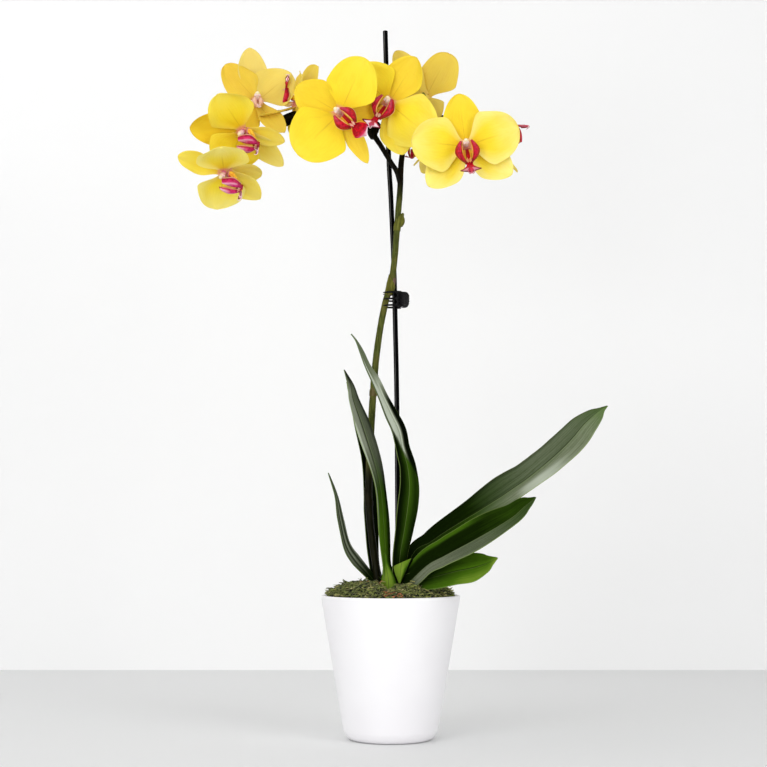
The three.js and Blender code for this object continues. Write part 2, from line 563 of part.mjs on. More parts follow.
const sweepOf = (rows, grow, sides) =>
  rod(
    rows.map((p) => p.slice(0, 3)),
    rows.map((p) => p[3] + grow),
    sides
  );
const bulge = (x, y, z, r, h, grow) =>
  rod(
    [
      [x, y, z - h - grow],
      [x, y, z - h * 0.45],
      [x, y, z + h * 0.3],
      [x, y, z + h + grow],
    ],
    [r * 0.55 + grow, r + grow, r + grow, r * 0.5 + grow],
    6
  );
const spikeAt = (grow) =>
  join([
    sweepOf(even(STEM, 14), grow, 8),
    sweepOf(even(LEFT_BRANCH, 15), grow, 7),
    sweepOf(even(RIGHT_BRANCH, 6), grow, 6),
    ...PEDICELS.map((p) =>
      sweepOf(
        even(
          p.map((q, i) => [...q, i === 0 ? 1.9 : i === p.length - 1 ? 1.8 : 1.5]),
          5
        ),
        grow,
        5
      )
    ),
    // the joints of the stem, and the bracts at them
    bulge(0.2, -2, 421, 4.2, 6, grow),
    bulge(9.6, -0.6, 486, 4.1, 5, grow),
    rod([[-19.5, 8.6, 214], [-20.6, 7.4, 222], [-21, 6.6, 229]], [3.6 + grow, 4.4 + grow, 1.6 + grow], 6),
    rod([[-21.2, 2.2, 571], [-19.4, 1, 576], [-18.4, 1, 580.5]], [3.8 + grow, 5.2 + grow, 2.6 + grow], 6),
    rod([[-18.8, 1, 577], [-13.6, -1.8, 578.5], [-8.8, -4, 573]], [4.2 + grow, 3.2 + grow, 0.8 + grow], 6),
    rod([[-18.8, 1, 574], [-20, -1.4, 580], [-25.2, -3, 583.6]], [3.4 + grow, 3.2 + grow, 0.8 + grow], 6),
  ]);
place("flower_spike", spikeAt(0), spikeAt(GAP), 0x5d6a2c, 0.5);

// ---------------------------------------------------------------- claw clip that ties the spike to the stake
const tooth = (pts, z) => {
  const r = [1, 0.95, 0.9, 0.8, 0.4];
  return rod(
    even(
      pts.map(([x, y]) => [x, y, z]),
      5
    ),
    r,
    5
  );
};
const FRONT_TOOTH = [[9.2, -3.8], [6.5, -6.2], [3, -7.4], [-1, -7.2], [-4.5, -5.8], [-7, -3.9]];
const mirrorY = ([x, y]) => [x, 2 * HINGE_Y - y];
const TEETH_Z = [-6.2, 0, 6.2];
const PAD = [[8.3, -4.9], [12, -4.7], [16.9, -6.6], [17.7, -6.3], [17.5, -5.4], [12, -3.2], [8.3, -3.1]];
const PLATE = [[9.9, -4.5], [9.2, -4.6], [6.5, -6.9], [4.6, -7.7], [4.3, -6.6], [6.5, -5.7], [9.2, -3.4], [9.9, -3.3]];
// what the pads' outer corners are rounded to, seen from the front
const padShape = (() => {
  const o = [[5, -8], [12, -8]];
  for (let k = 0; k <= 6; k++) {
    const a = -Math.PI / 2 + (Math.PI * k) / 6;
    o.push([12.9 + 4.9 * Math.cos(a), 6.5 * Math.sin(a)]);
  }
  o.push([12, 8], [5, 8]);
  const g = new THREE.ExtrudeGeometry(new THREE.Shape(o.map(([x, y]) => new THREE.Vector2(x, y))), { depth: 30, bevelEnabled: false, steps: 1 });
  g.rotateX(Math.PI / 2);
  g.translate(0, 15, CLIP_Z);
  return fromGeometry(g);
})();
const ring = (z0, z1) => raised(circle(HINGE_X, HINGE_Y, KNUCKLE_R, 16), CLIP_Z + z0, CLIP_Z + z1);
const web = (front, z0, z1) => {
  const o = [[9.1, -4.4], [11.3, -4.4], [11.3, HINGE_Y - 1.2], [9.1, HINGE_Y - 1.2]];
  return raised(front ? o : o.map(mirrorY).reverse(), CLIP_Z + z0, CLIP_Z + z1);
};
const pinHole = raised(circle(HINGE_X, HINGE_Y, PIN_HOLE_R, 16), CLIP_Z - 12, CLIP_Z + 12);
function jaw(front, knuckles) {
  const pad = front ? PAD : PAD.map(mirrorY).reverse(),
    plate = front ? PLATE : PLATE.map(mirrorY).reverse();
  return join([
    raised(pad, CLIP_Z - 6.4, CLIP_Z + 6.4).intersect(padShape),
    raised(plate, CLIP_Z - 7.3, CLIP_Z + 7.3),
    raised(front ? [[8.3, -4.9], [10.4, -4.8], [10.4, -3.1], [8.3, -3.1]] : [[8.3, -4.9], [10.4, -4.8], [10.4, -3.1], [8.3, -3.1]].map(mirrorY).reverse(), CLIP_Z - 7.6, CLIP_Z + 7.6),
    ...TEETH_Z.map((z) => tooth(front ? FRONT_TOOTH : FRONT_TOOTH.map(mirrorY), CLIP_Z + z)),
    ...knuckles.flatMap(([a, b]) => [ring(a, b), web(front, a, b)]),
  ]).subtract(pinHole);
}
place("clip_back_jaw", jaw(false, [[-4.3, -1.9], [1.9, 4.3]]), null, 0x17181a, 0.25, 0, 0.01);
place("clip_front_jaw", jaw(true, [[-7, -4.6], [4.6, 7]]), null, 0x17181a, 0.25, 0, 0.01);
place(
  "clip_pin",
  join([raised(circle(HINGE_X, HINGE_Y, PIN_R, 12), CLIP_Z - 7.4, CLIP_Z + 7.4), raised(circle(HINGE_X, HINGE_Y, 1.5, 12), CLIP_Z + 7.3, CLIP_Z + 8.1)]),
  null,
  0x9a9da1,
  0.3,
  1,
  0.01
);
{
  const turns = 2.5,
    per = 10,
    pts = [[13, HINGE_Y - 1.35, CLIP_Z - 1.25]];
  for (let k = 0; k <= turns * per; k++) {
    const a = -Math.PI / 2 - (2 * Math.PI * k) / per;
    pts.push([HINGE_X + 1.35 * Math.cos(a), HINGE_Y + 1.35 * Math.sin(a), CLIP_Z - 1.25 + (2.5 * k) / (turns * per)]);
  }
  pts.push([13, HINGE_Y + 1.35, CLIP_Z + 1.25]);
  place("clip_spring", rod(pts, Array(pts.length).fill(0.27), 5), null, 0xa6a8ab, 0.35, 1, 0.02);
}

// ---------------------------------------------------------------- crown
const crownAt = (grow) =>
  turned(
    [[0, 120 - grow], [8 + grow, 121 - grow], [10.5 + grow, 128], [10.2 + grow, 137], [8.2 + grow, 146], [5.4 + grow, 153], [2.6 + grow, 157.5 + grow], [0, 158.5 + grow]],
    12,
    1,
    0
  );
place("crown", crownAt(0), crownAt(GAP), 0x7f9a35, 0.55);
// ---------------------------------------------------------------- growing medium and moss
place("growing_medium", turned([[0, POT_FLOOR + 1.6], [innerR(8) - 8, POT_FLOOR + 1.6], [innerR(14) - 1.2, 13.5], [innerR(MEDIUM_TOP) - 0.5, MEDIUM_TOP - 0.6], [0, MEDIUM_TOP - 0.6]], 36), null, 0x6d4a30, 0.95);
{
  // the mound's height over the rim, and how it wanders round the pot
  const mossAt = (grow) => {
    const mound = [[0, 146.5], [12, 147], [24, 147.5], [36, 145.4], [46, 141.4], [54, 136.6], [58.5, 131.6], [59.6, 126]].map(([r, z]) => [r, z + grow]),
      g = new THREE.LatheGeometry(
      [[0, MEDIUM_TOP], [innerR(MEDIUM_TOP) - 0.8, MEDIUM_TOP], ...mound.slice().reverse()].map(([r, z]) => new THREE.Vector2(r, z)),
      24
      );
  g.rotateX(Math.PI / 2);
  const p = g.attributes.position;
  for (let i = 0; i < p.count; i++) {
    const [x, y, z] = [p.getX(i), p.getY(i), p.getZ(i)],
      r = Math.hypot(x, y);
    if (z > 128) p.setZ(i, z + 1.5 * Math.sin(x * 0.13 + 1) * Math.cos(y * 0.11) + 0.9 * Math.sin(x * 0.31 - y * 0.27));
    if (z > 128 && r > 50) p.setXYZ(i, x * 0.995, y * 0.995, p.getZ(i));
  }
    return fromGeometry(g);
  };
  place("moss", mossAt(0), mossAt(GAP), 0x8a8f3c, 0.95);
}

// ---------------------------------------------------------------- leaves
LEAVES.forEach((ctrl, i) => {
  const P = leafGrid(ctrl, i === 4 ? 9 : 8, i === 6 || i === 0 ? 2 : 4);
  place(`leaf_${i + 1}`, blade(P, LEAF_T), blade(P, LEAF_T, GAP), 0x3b5a22, 0.4);
});

// ---------------------------------------------------------------- flowers
// The lip's surfaces in the flower's own frame: a throat, two side lobes and a midlobe shaped like an anchor.
const arc = (x) => Math.sin(Math.PI * x);
function lipSolid([slope, s, close, dx, dy, dz, wing, round], grow) {
  const parts = [],
    d = rad(slope);
  // the lip is carried out from the column's foot, more and more with its distance from it
  const carried = (p) => p.multiplyScalar(s).addScaledVector(V3(dx, dy, dz), sstep((-p.y / s - 3.2) / 5));
  const grid = (us, f) => us.map((u, i) => [-1, 0, 1].map((v) => carried(f(u, v, i))));
  parts.push(blade(grid([0, 0.5, 1], (u, v) => V3(v * (2.6 + 1.2 * arc(u)), -3.2 - 7 * u + 1.4 * v * v, -3.4 - 13.2 * u)), 2, grow));
  for (const side of [-1, 1])
    parts.push(
      blade(
        grid([0, 0.3, 0.65, 1], (u, v, i) => {
          const xo = 2.2 + (8.4 - 1.6 * close) * arc(Math.pow(u, 0.85) * 0.8),
            xi = (1.2 + 3.4 * arc(Math.pow(u, 0.95) * 0.88)) * (1 - close) + 0.9 * close,
            w = ((xo - xi) / 2) * [0.5, 1, 1, 0.45][i];
          return V3(side * ((xo + xi) / 2 + w * v), -9.6 - 2.2 * (1 - v * v) - 1.2 * arc(u) + (v > 0 ? 2.2 : 0), -16 + 19 * u);
        }),
        1.2,
        grow
      )
    );
  parts.push(
    blade(
      grid(round ? [0, 0.3, 0.65, 1] : [0, 0.5, 0.78, 1], (u, v, i) => {
        const w = (round ? [2, wing * 0.7, wing, wing * 0.4] : [2, 2.9, wing, 1])[i],
          l = 16.5 * u - 1.5,
          e = (round ? 2.6 : 1.4) * v * v;
        return V3(v * w, -9.6 - Math.cos(d) * l - e * Math.sin(d), -16.4 - Math.sin(d) * l + e * Math.cos(d));
      }),
      1.6,
      grow
    )
  );
  return join(parts);
}
FLOWERS.forEach((f, i) => {
  const name = `flower_${i + 1}_`,
    m = new THREE.Matrix4()
      .makeTranslation(...f.at)
      .multiply(new THREE.Matrix4().makeRotationZ(rad(f.yaw)))
      .multiply(new THREE.Matrix4().makeRotationX(rad(f.pitch)))
      .multiply(new THREE.Matrix4().makeRotationY(rad(f.roll))),
    put = (s) => s.transform(m.elements),
    blades = (from, to, grow) => f.tepals.slice(from, to).map((t, k) => blade(tepalGrid(t, (i + 1) * 1.7 + (from + k) * 2.3, 5, from ? 4 : 2), TEPAL_T, grow));
  const receptacle = (g) => rod([[0, 5.5 + g, 0], [0, 3.4, 0], [0, 1.2 - g, 0]], [2.2 + g, 3.9 + g, 4.1 + g], 8);
  const hub = (g) => rod([[0, 0.8 + g, 0], [0, -0.7 - g, 0]], [3.6 + g, 3.4 + g], 8);
  const column = (g) => rod([[0, -1.1 + g, 0.4], [0, -3.4, 1], [0, -6.6, 2.4], [0, -8.6 - g, 3.1]], [2.5 + g, 2.5 + g, 3.1 + g, 1.8 + g], 8);
  const sepals = (g) => join([...blades(0, 3, g), receptacle(g)]),
    petals = (g) => join([...blades(3, 5, g), hub(g)]);
  place(name + "column", put(column(0)), put(column(GAP)), 0xf6d9e6, 0.4);
  place(name + "lip", put(lipSolid(LIPS[i], 0)), put(lipSolid(LIPS[i], GAP * 2)), 0xb80f3a, 0.4);
  place(name + "petals", put(petals(0)), put(petals(GAP)), 0xf6d93c, 0.5);
  place(name + "sepals", put(sepals(0)), put(sepals(GAP)), 0xf3d64a, 0.5);
});

export default group;
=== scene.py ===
"""A moth orchid in a plain white pot: two branches of yellow flowers with crimson lips on a staked spike,
seven strap leaves and a mound of moss. Lengths in the tables are millimetres in the part's own frame."""

import bpy
import math
import numpy as np
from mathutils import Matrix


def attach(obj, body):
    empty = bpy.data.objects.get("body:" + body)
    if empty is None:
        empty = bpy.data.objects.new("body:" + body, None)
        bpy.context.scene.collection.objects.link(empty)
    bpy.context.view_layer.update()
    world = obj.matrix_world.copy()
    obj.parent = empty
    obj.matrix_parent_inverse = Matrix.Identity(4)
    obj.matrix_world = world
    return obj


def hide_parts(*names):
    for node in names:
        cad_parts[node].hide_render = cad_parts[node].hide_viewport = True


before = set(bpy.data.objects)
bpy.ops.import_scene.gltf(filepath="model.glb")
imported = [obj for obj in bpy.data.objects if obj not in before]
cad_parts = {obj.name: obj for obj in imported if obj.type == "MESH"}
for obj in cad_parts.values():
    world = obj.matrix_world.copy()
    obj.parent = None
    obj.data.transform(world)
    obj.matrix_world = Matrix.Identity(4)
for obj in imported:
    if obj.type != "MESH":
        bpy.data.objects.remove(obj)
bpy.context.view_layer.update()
rad = math.radians
RNG = np.random.default_rng(7)

# ------------------------------------------------------------------ tables, shared with the solids
FLOWERS = [
  { "at": [-155.3, -34, 524], "yaw": 12, "pitch": 50, "roll": -80, "scale": 0.95, "tepals": [
    ["dorsal", -3.4, 42.2, 30.4, -24.0, 14.0, 0.16, 0.76],
    ["lateral", -162.4, 47.1, 32.3, -36.2, 16.0, 0.14, 0.76],
    ["lateral", -149.0, 46.8, 32.3, -9.1, 16.0, 0.14, 0.76],
    ["petal", 69.5, 46.9, 51.3, 24.8, 6.0, 0.05, 1.90],
    ["petal", -99.4, 47.0, 47.5, -10.7, 6.0, 0.05, 1.90],
  ] },
  { "at": [-138.7, -26, 565.2], "yaw": 8, "pitch": 38, "roll": -84, "scale": 0.95, "tepals": [
    ["dorsal", -7.1, 47.2, 38.0, -10.1, 14.0, 0.16, 0.76],
    ["lateral", -173.7, 38.3, 22.8, -2.1, 16.0, 0.14, 0.76],
    ["lateral", -145.9, 49.1, 26.6, -2.0, 16.0, 0.14, 0.76],
    ["petal", 53.2, 46.9, 47.5, 13.6, 6.0, 0.05, 1.90],
    ["petal", -72.6, 38.2, 53.2, 3.0, 6.0, 0.05, 1.90],
  ] },
  { "at": [-127.7, -4, 600.4], "yaw": 10, "pitch": -12, "roll": -4, "scale": 0.95, "tepals": [
    ["dorsal", -3.5, 52.8, 33.2, -0.1, 14.0, 0.16, 0.76],
    ["lateral", 152.6, 46.9, 26.6, 13.1, 16.0, 0.14, 0.76],
    ["lateral", -150.9, 47.0, 32.3, 4.9, 16.0, 0.14, 0.76],
    ["petal", 52.4, 41.8, 45.6, 2.7, 6.0, 0.05, 1.90],
    ["petal", -37.7, 43.9, 36.1, 2.9, 6.0, 0.05, 1.90],
  ] },
  { "at": [-93, 8, 600.9], "yaw": -50, "pitch": -8, "roll": -165, "scale": 0.9, "tepals": [
    ["dorsal", -6.1, 40.9, 27.0, 54.3, 14.0, 0.16, 0.72],
    ["lateral", -143.2, 44.4, 41.4, -0.4, 16.0, 0.14, 0.72],
    ["lateral", -52.2, 44.6, 27.0, -27.5, 16.0, 0.14, 0.72],
    ["petal", -120.6, 44.4, 36.0, 27.0, 6.0, 0.05, 1.80],
    ["petal", -45.0, 44.5, 39.6, -7.5, 6.0, 0.05, 1.80],
  ] },
  { "at": [-47.1, -40, 578.5], "yaw": -8, "pitch": 5, "roll": -50, "scale": 1.03, "tepals": [
    ["dorsal", -8.2, 46.2, 43.3, -1.2, 14.0, 0.16, 0.82],
    ["lateral", 129.6, 34.7, 35.0, -40.9, 16.0, 0.14, 0.82],
    ["lateral", -158.5, 52.5, 20.6, -2.3, 16.0, 0.14, 0.82],
    ["petal", 75.8, 52.8, 52.5, 3.0, 6.0, 0.05, 2.06],
    ["petal", -84.0, 53.0, 62.8, 6.0, 6.0, 0.05, 2.06],
  ] },
  { "at": [-2.3, -22, 593.2], "yaw": -14, "pitch": 5, "roll": 28, "scale": 1.02, "tepals": [
    ["dorsal", 7.4, 47.5, 43.9, -1.2, 14.0, 0.16, 0.82],
    ["lateral", 135.6, 49.9, 40.8, -1.7, 16.0, 0.14, 0.82],
    ["lateral", -129.0, 50.0, 37.7, -6.0, 16.0, 0.14, 0.82],
    ["petal", 102.2, 54.5, 57.1, 2.6, 6.0, 0.05, 2.04],
    ["petal", -68.3, 43.1, 53.0, 3.0, 6.0, 0.05, 2.04],
  ] },
  { "at": [34.7, 18, 608.7], "yaw": 162, "pitch": 8, "roll": 37, "scale": 0.95, "tepals": [
    ["dorsal", -5.3, 54.9, 30.4, -16.5, 14.0, 0.16, 0.76],
    ["lateral", 178.2, 46.8, 28.5, -43.3, 16.0, 0.14, 0.76],
    ["lateral", 134.5, 39.4, 28.5, -2.2, 16.0, 0.14, 0.76],
    ["petal", -60.2, 49.7, 46.2, 2.8, 6.0, 0.05, 1.90],
    ["petal", 65.3, 47.0, 36.1, 34.6, 6.0, 0.05, 1.90],
  ] },
  { "at": [70.2, -38, 547.7], "yaw": 0, "pitch": 3, "roll": -8, "scale": 1, "tepals": [
    ["dorsal", 0.0, 47.0, 40.0, -4.0, 14.0, 0.16, 0.80],
    ["lateral", 129.0, 48.0, 43.0, -6.0, 16.0, 0.14, 0.80],
    ["lateral", -129.0, 49.0, 43.0, -6.0, 16.0, 0.14, 0.80],
    ["petal", 80.0, 49.0, 55.0, 6.0, 6.0, 0.05, 2.00],
    ["petal", -79.0, 49.0, 55.0, 6.0, 6.0, 0.05, 2.00],
  ] },
  { "at": [108.4, 8, 559.5], "yaw": 60, "pitch": -6, "roll": 155, "scale": 0.75, "tepals": [
    ["dorsal", 28.3, 30.7, 16.5, 21.8, 14.0, 0.16, 0.60],
    ["lateral", 136.2, 37.1, 18.0, -4.6, 16.0, 0.14, 0.60],
    ["lateral", -120.8, 37.1, 18.0, -2.8, 16.0, 0.14, 0.60],
    ["petal", 57.8, 37.1, 25.5, 1.5, 6.0, 0.05, 1.50],
    ["petal", -127.3, 37.2, 25.5, -4.9, 6.0, 0.05, 1.50],
  ] },
  { "at": [33.7, 20, 559.6], "yaw": -66, "pitch": 20, "roll": 30, "scale": 0.8, "tepals": [
    ["dorsal", 18.2, 38.0, 24.0, -18.3, 14.0, 0.16, 0.64],
    ["lateral", 139.7, 22.7, 25.6, 56.7, 16.0, 0.14, 0.64],
    ["lateral", -144.4, 39.7, 24.0, -17.2, 16.0, 0.14, 0.64],
    ["petal", 22.7, 39.6, 27.2, -0.7, 6.0, 0.05, 1.60],
    ["petal", 98.0, 39.6, 27.2, 13.7, 6.0, 0.05, 1.60],
  ] },
]
LEAVES = [
  [
    [-11.7, 4, 139.6, 7, 55, 9],
    [-20.1, 3, 148.9, 7.5, 60, 9],
    [-33.2, 2, 163.8, 8, 58, 9],
    [-41.6, 1, 177.7, 7.6, 62, 9],
    [-47.2, -1, 201, 6.6, 68, 9],
    [-51, -2, 222.4, 5.2, 72, 9],
    [-58.1, -3, 244.8, 0.8, 74, 5],
  ],
  [
    [-10.8, 14, 135.5, 7, 40, 9],
    [-15.3, 19, 155.9, 8, 55, 9],
    [-18, 23, 178.4, 10.5, 56, 9],
    [-19, 25, 207.7, 12, 56, 9],
    [-19.5, 25, 227.6, 12, 57, 9],
    [-22.8, 23, 259.9, 11.5, 58, 9],
    [-30.5, 20, 295.1, 10, 60, 9],
    [-38.1, 17, 320.7, 5, 62, 9],
    [-41.4, 16, 332.1, 0.8, 62, 5],
  ],
  [
    [-0.6, -4, 138.1, 8, 45, 9],
    [-4.1, -10, 158.6, 7.7, 58, 9],
    [-6, -14, 178.9, 9.2, 60, 9],
    [-7.7, -19, 207.4, 9.7, 60, 9],
    [-10, -21, 229.4, 10, 60, 9],
    [-14.4, -22, 249.7, 11.8, 60, 9],
    [-23.1, -23, 277.3, 13.8, 60, 9],
    [-28, -23, 292.2, 13.8, 60, 9],
    [-34.7, -23.5, 311.6, 10.3, 61, 9],
    [-37.7, -24, 325.5, 6.1, 63, 9],
    [-43, -24, 339.7, 0.8, 66, 5],
  ],
  [
    [6.9, 0, 139.8, 9, 45, 9],
    [7.8, -8, 167.7, 11.3, 52, 9],
    [11.7, -12, 191.7, 13.3, 53, 9],
    [14.7, -16, 212, 14.8, 50, 9],
    [16.4, -18, 231.3, 14.6, 50, 9],
    [15, -19, 248.9, 12.8, 51, 9],
    [12.2, -20, 259.9, 11.7, 52, 9],
    [9.8, -20, 269.2, 11.2, 55, 9],
    [6.7, -21, 283.9, 10.8, 53, 9],
    [-0.2, -21, 298.8, 9.6, 51, 9],
    [-7.5, -21.5, 314.6, 7.5, 50, 9],
    [-14.8, -22, 330.4, 6.8, 50, 9],
    [-21.8, -22, 343.4, 4.5, 51, 9],
    [-27.5, -22, 357.4, 3.3, 54, 9],
    [-31.9, -22, 366.8, 1.6, 58, 7],
    [-36.6, -22, 373.4, 0.8, 62, 5],
  ],
  [
    [8.8, 6, 139.6, 8, -50, 12],
    [21.9, 9, 170.5, 11.9, -63.9, 10.7],
    [36.9, 8, 180.3, 17.4, -66, 10.3],
    [48.7, 6.1, 188.8, 20.5, -66, 9.9],
    [66.9, 2, 200.7, 24.6, -66, 9.4],
    [83.8, -2, 211.4, 28.8, -65.5, 9],
    [102.1, -5, 223.5, 31.5, -65, 8],
    [113.5, -6.5, 231.1, 30.3, -64.8, 7.4],
    [125.2, -8, 238.6, 28.4, -64.6, 6.6],
    [134.6, -8.5, 245.3, 28.8, -64.4, 5.9],
    [144, -9, 252.5, 29.7, -64.2, 5.1],
    [153.5, -8.5, 260.6, 29.5, -64.1, 4.4],
    [163.2, -8, 269.7, 29.1, -63.6, 3.6],
    [172.5, -6.5, 279.6, 26.4, -62.9, 2.7],
    [181.5, -5.1, 290.2, 21.5, -62.2, 1.9],
    [192, -2.8, 299.7, 13.1, -61.4, 1],
    [198.4, -1.4, 304.3, 5.3, -61, 0.5],
    [204.3, 0, 308.1, 0.8, -61, 0],
  ],
  [
    [8.6, -12, 136.6, 10, -45, 12],
    [31.2, -33, 159.9, 17.9, -58, 10],
    [49, -44, 170.8, 22.6, -60, 10],
    [71, -54, 183.3, 23.9, -59, 9],
    [93, -62, 196.1, 21.3, -58, 7],
    [107.9, -66, 205.3, 16.4, -57, 5],
    [117.6, -68, 213.3, 12, -56, 4],
    [123.7, -69.5, 217.4, 6, -55, 2],
    [128.7, -70, 221, 0.8, -55, 0],
  ],
  [
    [12.2, -18, 142.4, 8, -30, 10],
    [35.6, -36, 148.5, 12, -32, 10],
    [57.8, -47, 154.7, 14.3, -32, 8],
    [72.8, -53, 158, 14.4, -32, 6],
    [84, -59, 161.7, 9.9, -32, 4],
    [89.6, -62, 164.6, 4.9, -32, 2],
    [94.7, -64, 167.2, 0.8, -32, 0],
  ],
]
STAKE = [
  [-4.9, 4, 671.4],
  [-1.8, 4, 554.6],
  [0.6, 4, 505.8],
  [3.4, 4, 438.1],
  [4.3, 4, 399.7],
  [6.1, 4, 304.4],
  [6.9, 4, 145.2],
]
STEM = [
  [-10.8, 2, 126.8, 3.6],
  [-12.7, 3, 149.9, 3.5],
  [-19.3, 8, 201, 3.4],
  [-20.3, 9, 238.6, 3.3],
  [-18.4, 8, 285.7, 3.3],
  [-14.7, 6, 342.6, 3.2],
  [-9.9, 3, 380.4, 3.1],
  [-4.2, 0, 408.6, 3],
  [0.5, -2, 422.7, 3],
  [4.3, -3, 451.3, 2.9],
  [7.2, -1, 490.2, 2.9],
  [9.2, 1, 514.9, 2.8],
  [10.2, 3, 539.7, 2.7],
  [12.1, 4, 554.6, 2.6],
]
LEFT_BRANCH = [
  [9.6, 1.5, 520.8, 2.6],
  [6.3, 0, 532.1, 2.4],
  [1.5, -2.2, 539.4, 2.3],
  [-3.3, -3.2, 546.9, 2.3],
  [-9, -2.4, 556.8, 2.4],
  [-14.7, 0, 566.3, 2.7],
  [-18.6, 3, 573.9, 3.6],
  [-24.4, 6, 579.6, 3],
  [-39, 11, 590.8, 2.5],
  [-61.3, 14, 595.6, 2.5],
  [-82.5, 12, 594.1, 2.5],
  [-93.8, 6, 589.4, 3.4],
  [-104.9, 1, 581.7, 3.9],
  [-119.1, -1, 568.9, 2.3],
  [-127.6, -1, 556.2, 2.1],
  [-134, -3, 545, 1.9],
]
RIGHT_BRANCH = [
  [12.1, 4, 554.6, 2.6],
  [18, 8, 569.3, 2.5],
  [27.7, 10, 581.7, 2.4],
  [44.1, 9, 588.3, 2.2],
  [65.2, 7, 583.8, 2],
  [84.3, 6, 574.7, 1.8],
]
# Each lip: slope of its midlobe below straight ahead, size, how closed its side lobes are, how far it is carried from the column (x, y, z), half width of the midlobe, how round that is.
LIPS = [
  [-6, 1, 1, -4.0, -4.9, -0.8, 5, 0],
  [-6, 1, 1, -6.5, -4.6, 1.1, 5, 0],
  [30, 0.55, 0.6, 0.0, 0.0, 0.0, 5, 0],
  [85, 0.8, 0.5, 2.8, -3.6, 1.3, 5, 0],
  [70, 1.06, 0.3, -1.2, 0.0, -3.8, 8, 1],
  [46, 1.06, 0, 0.0, 0.0, 0.0, 10, 0],
  [40, 0.6, 0.8, -1.4, 2.7, 9.7, 5, 0],
  [44, 1.06, 0, -0.1, -0.1, -1.0, 10, 0],
  [-20, 0.95, 0.8, -4.0, -5.3, -1.9, 6, 0],
  [-25, 0.5, 0.8, -4.9, -8.2, 0.6, 5, 0],
]
# pedicels: the points from just behind each flower to the branch that carries it
PEDICELS = [
  [[-156.1, -30.3, 528.5], [-156.8, -27.1, 532.4], [-142.6, -12, 538], [-134, -3, 545]],
  [[-139.4, -21.4, 568.8], [-139.9, -17.4, 571.9], [-129.9, -8, 565.1], [-122.9, -1, 564]],
  [[-128.7, 1.7, 599.1], [-129.5, 6.6, 598.1], [-123.7, 7, 594.7], [-113.9, 6, 583.5], [-104.9, 1, 581.2]],
  [[-88.5, 11.8, 600], [-84.6, 15, 599.3], [-86.4, 12, 599], [-75.8, 13, 594.9]],
  [[-46.3, -34.2, 579.1], [-45.6, -29.1, 579.5], [-43.2, -14, 586.8], [-36.9, 4, 589.9], [-32.2, 9, 586.3]],
  [[-0.9, -16.3, 593.7], [0.3, -11.4, 594.2], [1.5, -1, 590.4], [8.3, 4, 574.2], [11.2, 4, 552.6]],
  [[32.9, 12.4, 609.5], [31.4, 7.6, 610.2], [30.5, 7, 597.6], [25.7, 8, 587], [21.8, 9, 574.5]],
  [[70.2, -32.1, 548], [70.2, -27, 548.3], [68.2, -24, 556.1], [58.8, -4, 573], [50.8, 8, 587]],
  [[103.3, 10.9, 558.9], [99, 13.5, 558.4], [99.6, 6, 563.9], [84.3, 6, 574.7]],
  [[38.7, 22.3, 561.6], [43.1, 24.2, 563.4], [42.5, 22, 566.1], [38.4, 14, 578.8], [29.6, 10, 582.7]],
]
FLOOR_COLOR = (0.785, 0.79, 0.79, 1)
WORLD = 0.50
LIGHTS = [
    ("key", (-0.9, -1.5, 1.45), (0.0, 0.0, 0.35), 1.1, 8.4),
    ("fill", (1.3, -1.4, 0.8), (0.0, 0.0, 0.35), 1.0, 12.2),
    ("low_fill", (-0.8, -1.6, 0.22), (-0.06, 0.0, 0.35), 1.0, 12.5),
    ("wall_wash", (-0.8, -0.1, 1.7), (-0.4, 0.65, 0.5), 1.2, 3.4),
]
KIND = {
    "petal": dict(c0=0.17, ur=0.46, n=3.0, e=0.5, back=0.16, y0=0.0, thick=1.0),
    "dorsal": dict(c0=0.34, ur=0.62, n=2.7, e=0.55, back=0.05, y0=2.1, thick=1.15),
    "lateral": dict(c0=0.36, ur=0.62, n=2.4, e=0.6, back=0.05, y0=2.1, thick=1.15),
}
POT_TOP_R, POT_FOOT_R, POT_H, POT_WALL = 65.0, 43.4, 131.5, 4.0
MEDIUM_TOP = 118.0
STAKE_R, STAKE_FOOT = 2.35, 42.0
CLIP_Z, HINGE_X, HINGE_Y = 409.0, 10.2, 1.2


# ------------------------------------------------------------------ small maths
def sstep(x, lo=0.0, hi=1.0):
    x = np.clip((np.asarray(x, float) - lo) / (hi - lo), 0, 1)
    return x * x * (3 - 2 * x)


def nrm(v):
    v = np.asarray(v, float)
    return v / np.maximum(np.linalg.norm(v, axis=-1, keepdims=True), 1e-9)


def wob(P, freq, seed, terms=7):
    """Smooth made-up noise, about -1..1, from a few crossed waves."""
    r = np.random.default_rng(seed)
    D = nrm(r.normal(size=(terms, 3))) * freq * r.uniform(0.6, 1.7, (terms, 1))
    ph = r.uniform(0, 2 * np.pi, terms)
    return np.sin(np.asarray(P) @ D.T + ph).sum(-1) / math.sqrt(terms) * 0.8


def rot(yaw, pitch, roll):
    y, p, r = rad(yaw), rad(pitch), rad(roll)
    Rz = np.array([[math.cos(y), -math.sin(y), 0], [math.sin(y), math.cos(y), 0], [0, 0, 1]])
    Rx = np.array([[1, 0, 0], [0, math.cos(p), -math.sin(p)], [0, math.sin(p), math.cos(p)]])
    Ry = np.array([[math.cos(r), 0, math.sin(r)], [0, 1, 0], [-math.sin(r), 0, math.cos(r)]])
    return Rz @ Rx @ Ry


def catmull(pts, n):
    pts = np.asarray(pts, float)
    k = len(pts)
    P = np.vstack([2 * pts[0] - pts[1], pts, 2 * pts[-1] - pts[-2]])
    s = np.linspace(0, k - 1, n)
    i = np.minimum(s.astype(int), k - 2)
    t = (s - i)[:, None]
    p0, p1, p2, p3 = P[i], P[i + 1], P[i + 2], P[i + 3]
    return 0.5 * (2 * p1 + (p2 - p0) * t + (2 * p0 - 5 * p1 + 4 * p2 - p3) * t**2 + (3 * p1 - p0 - 3 * p2 + p3) * t**3)


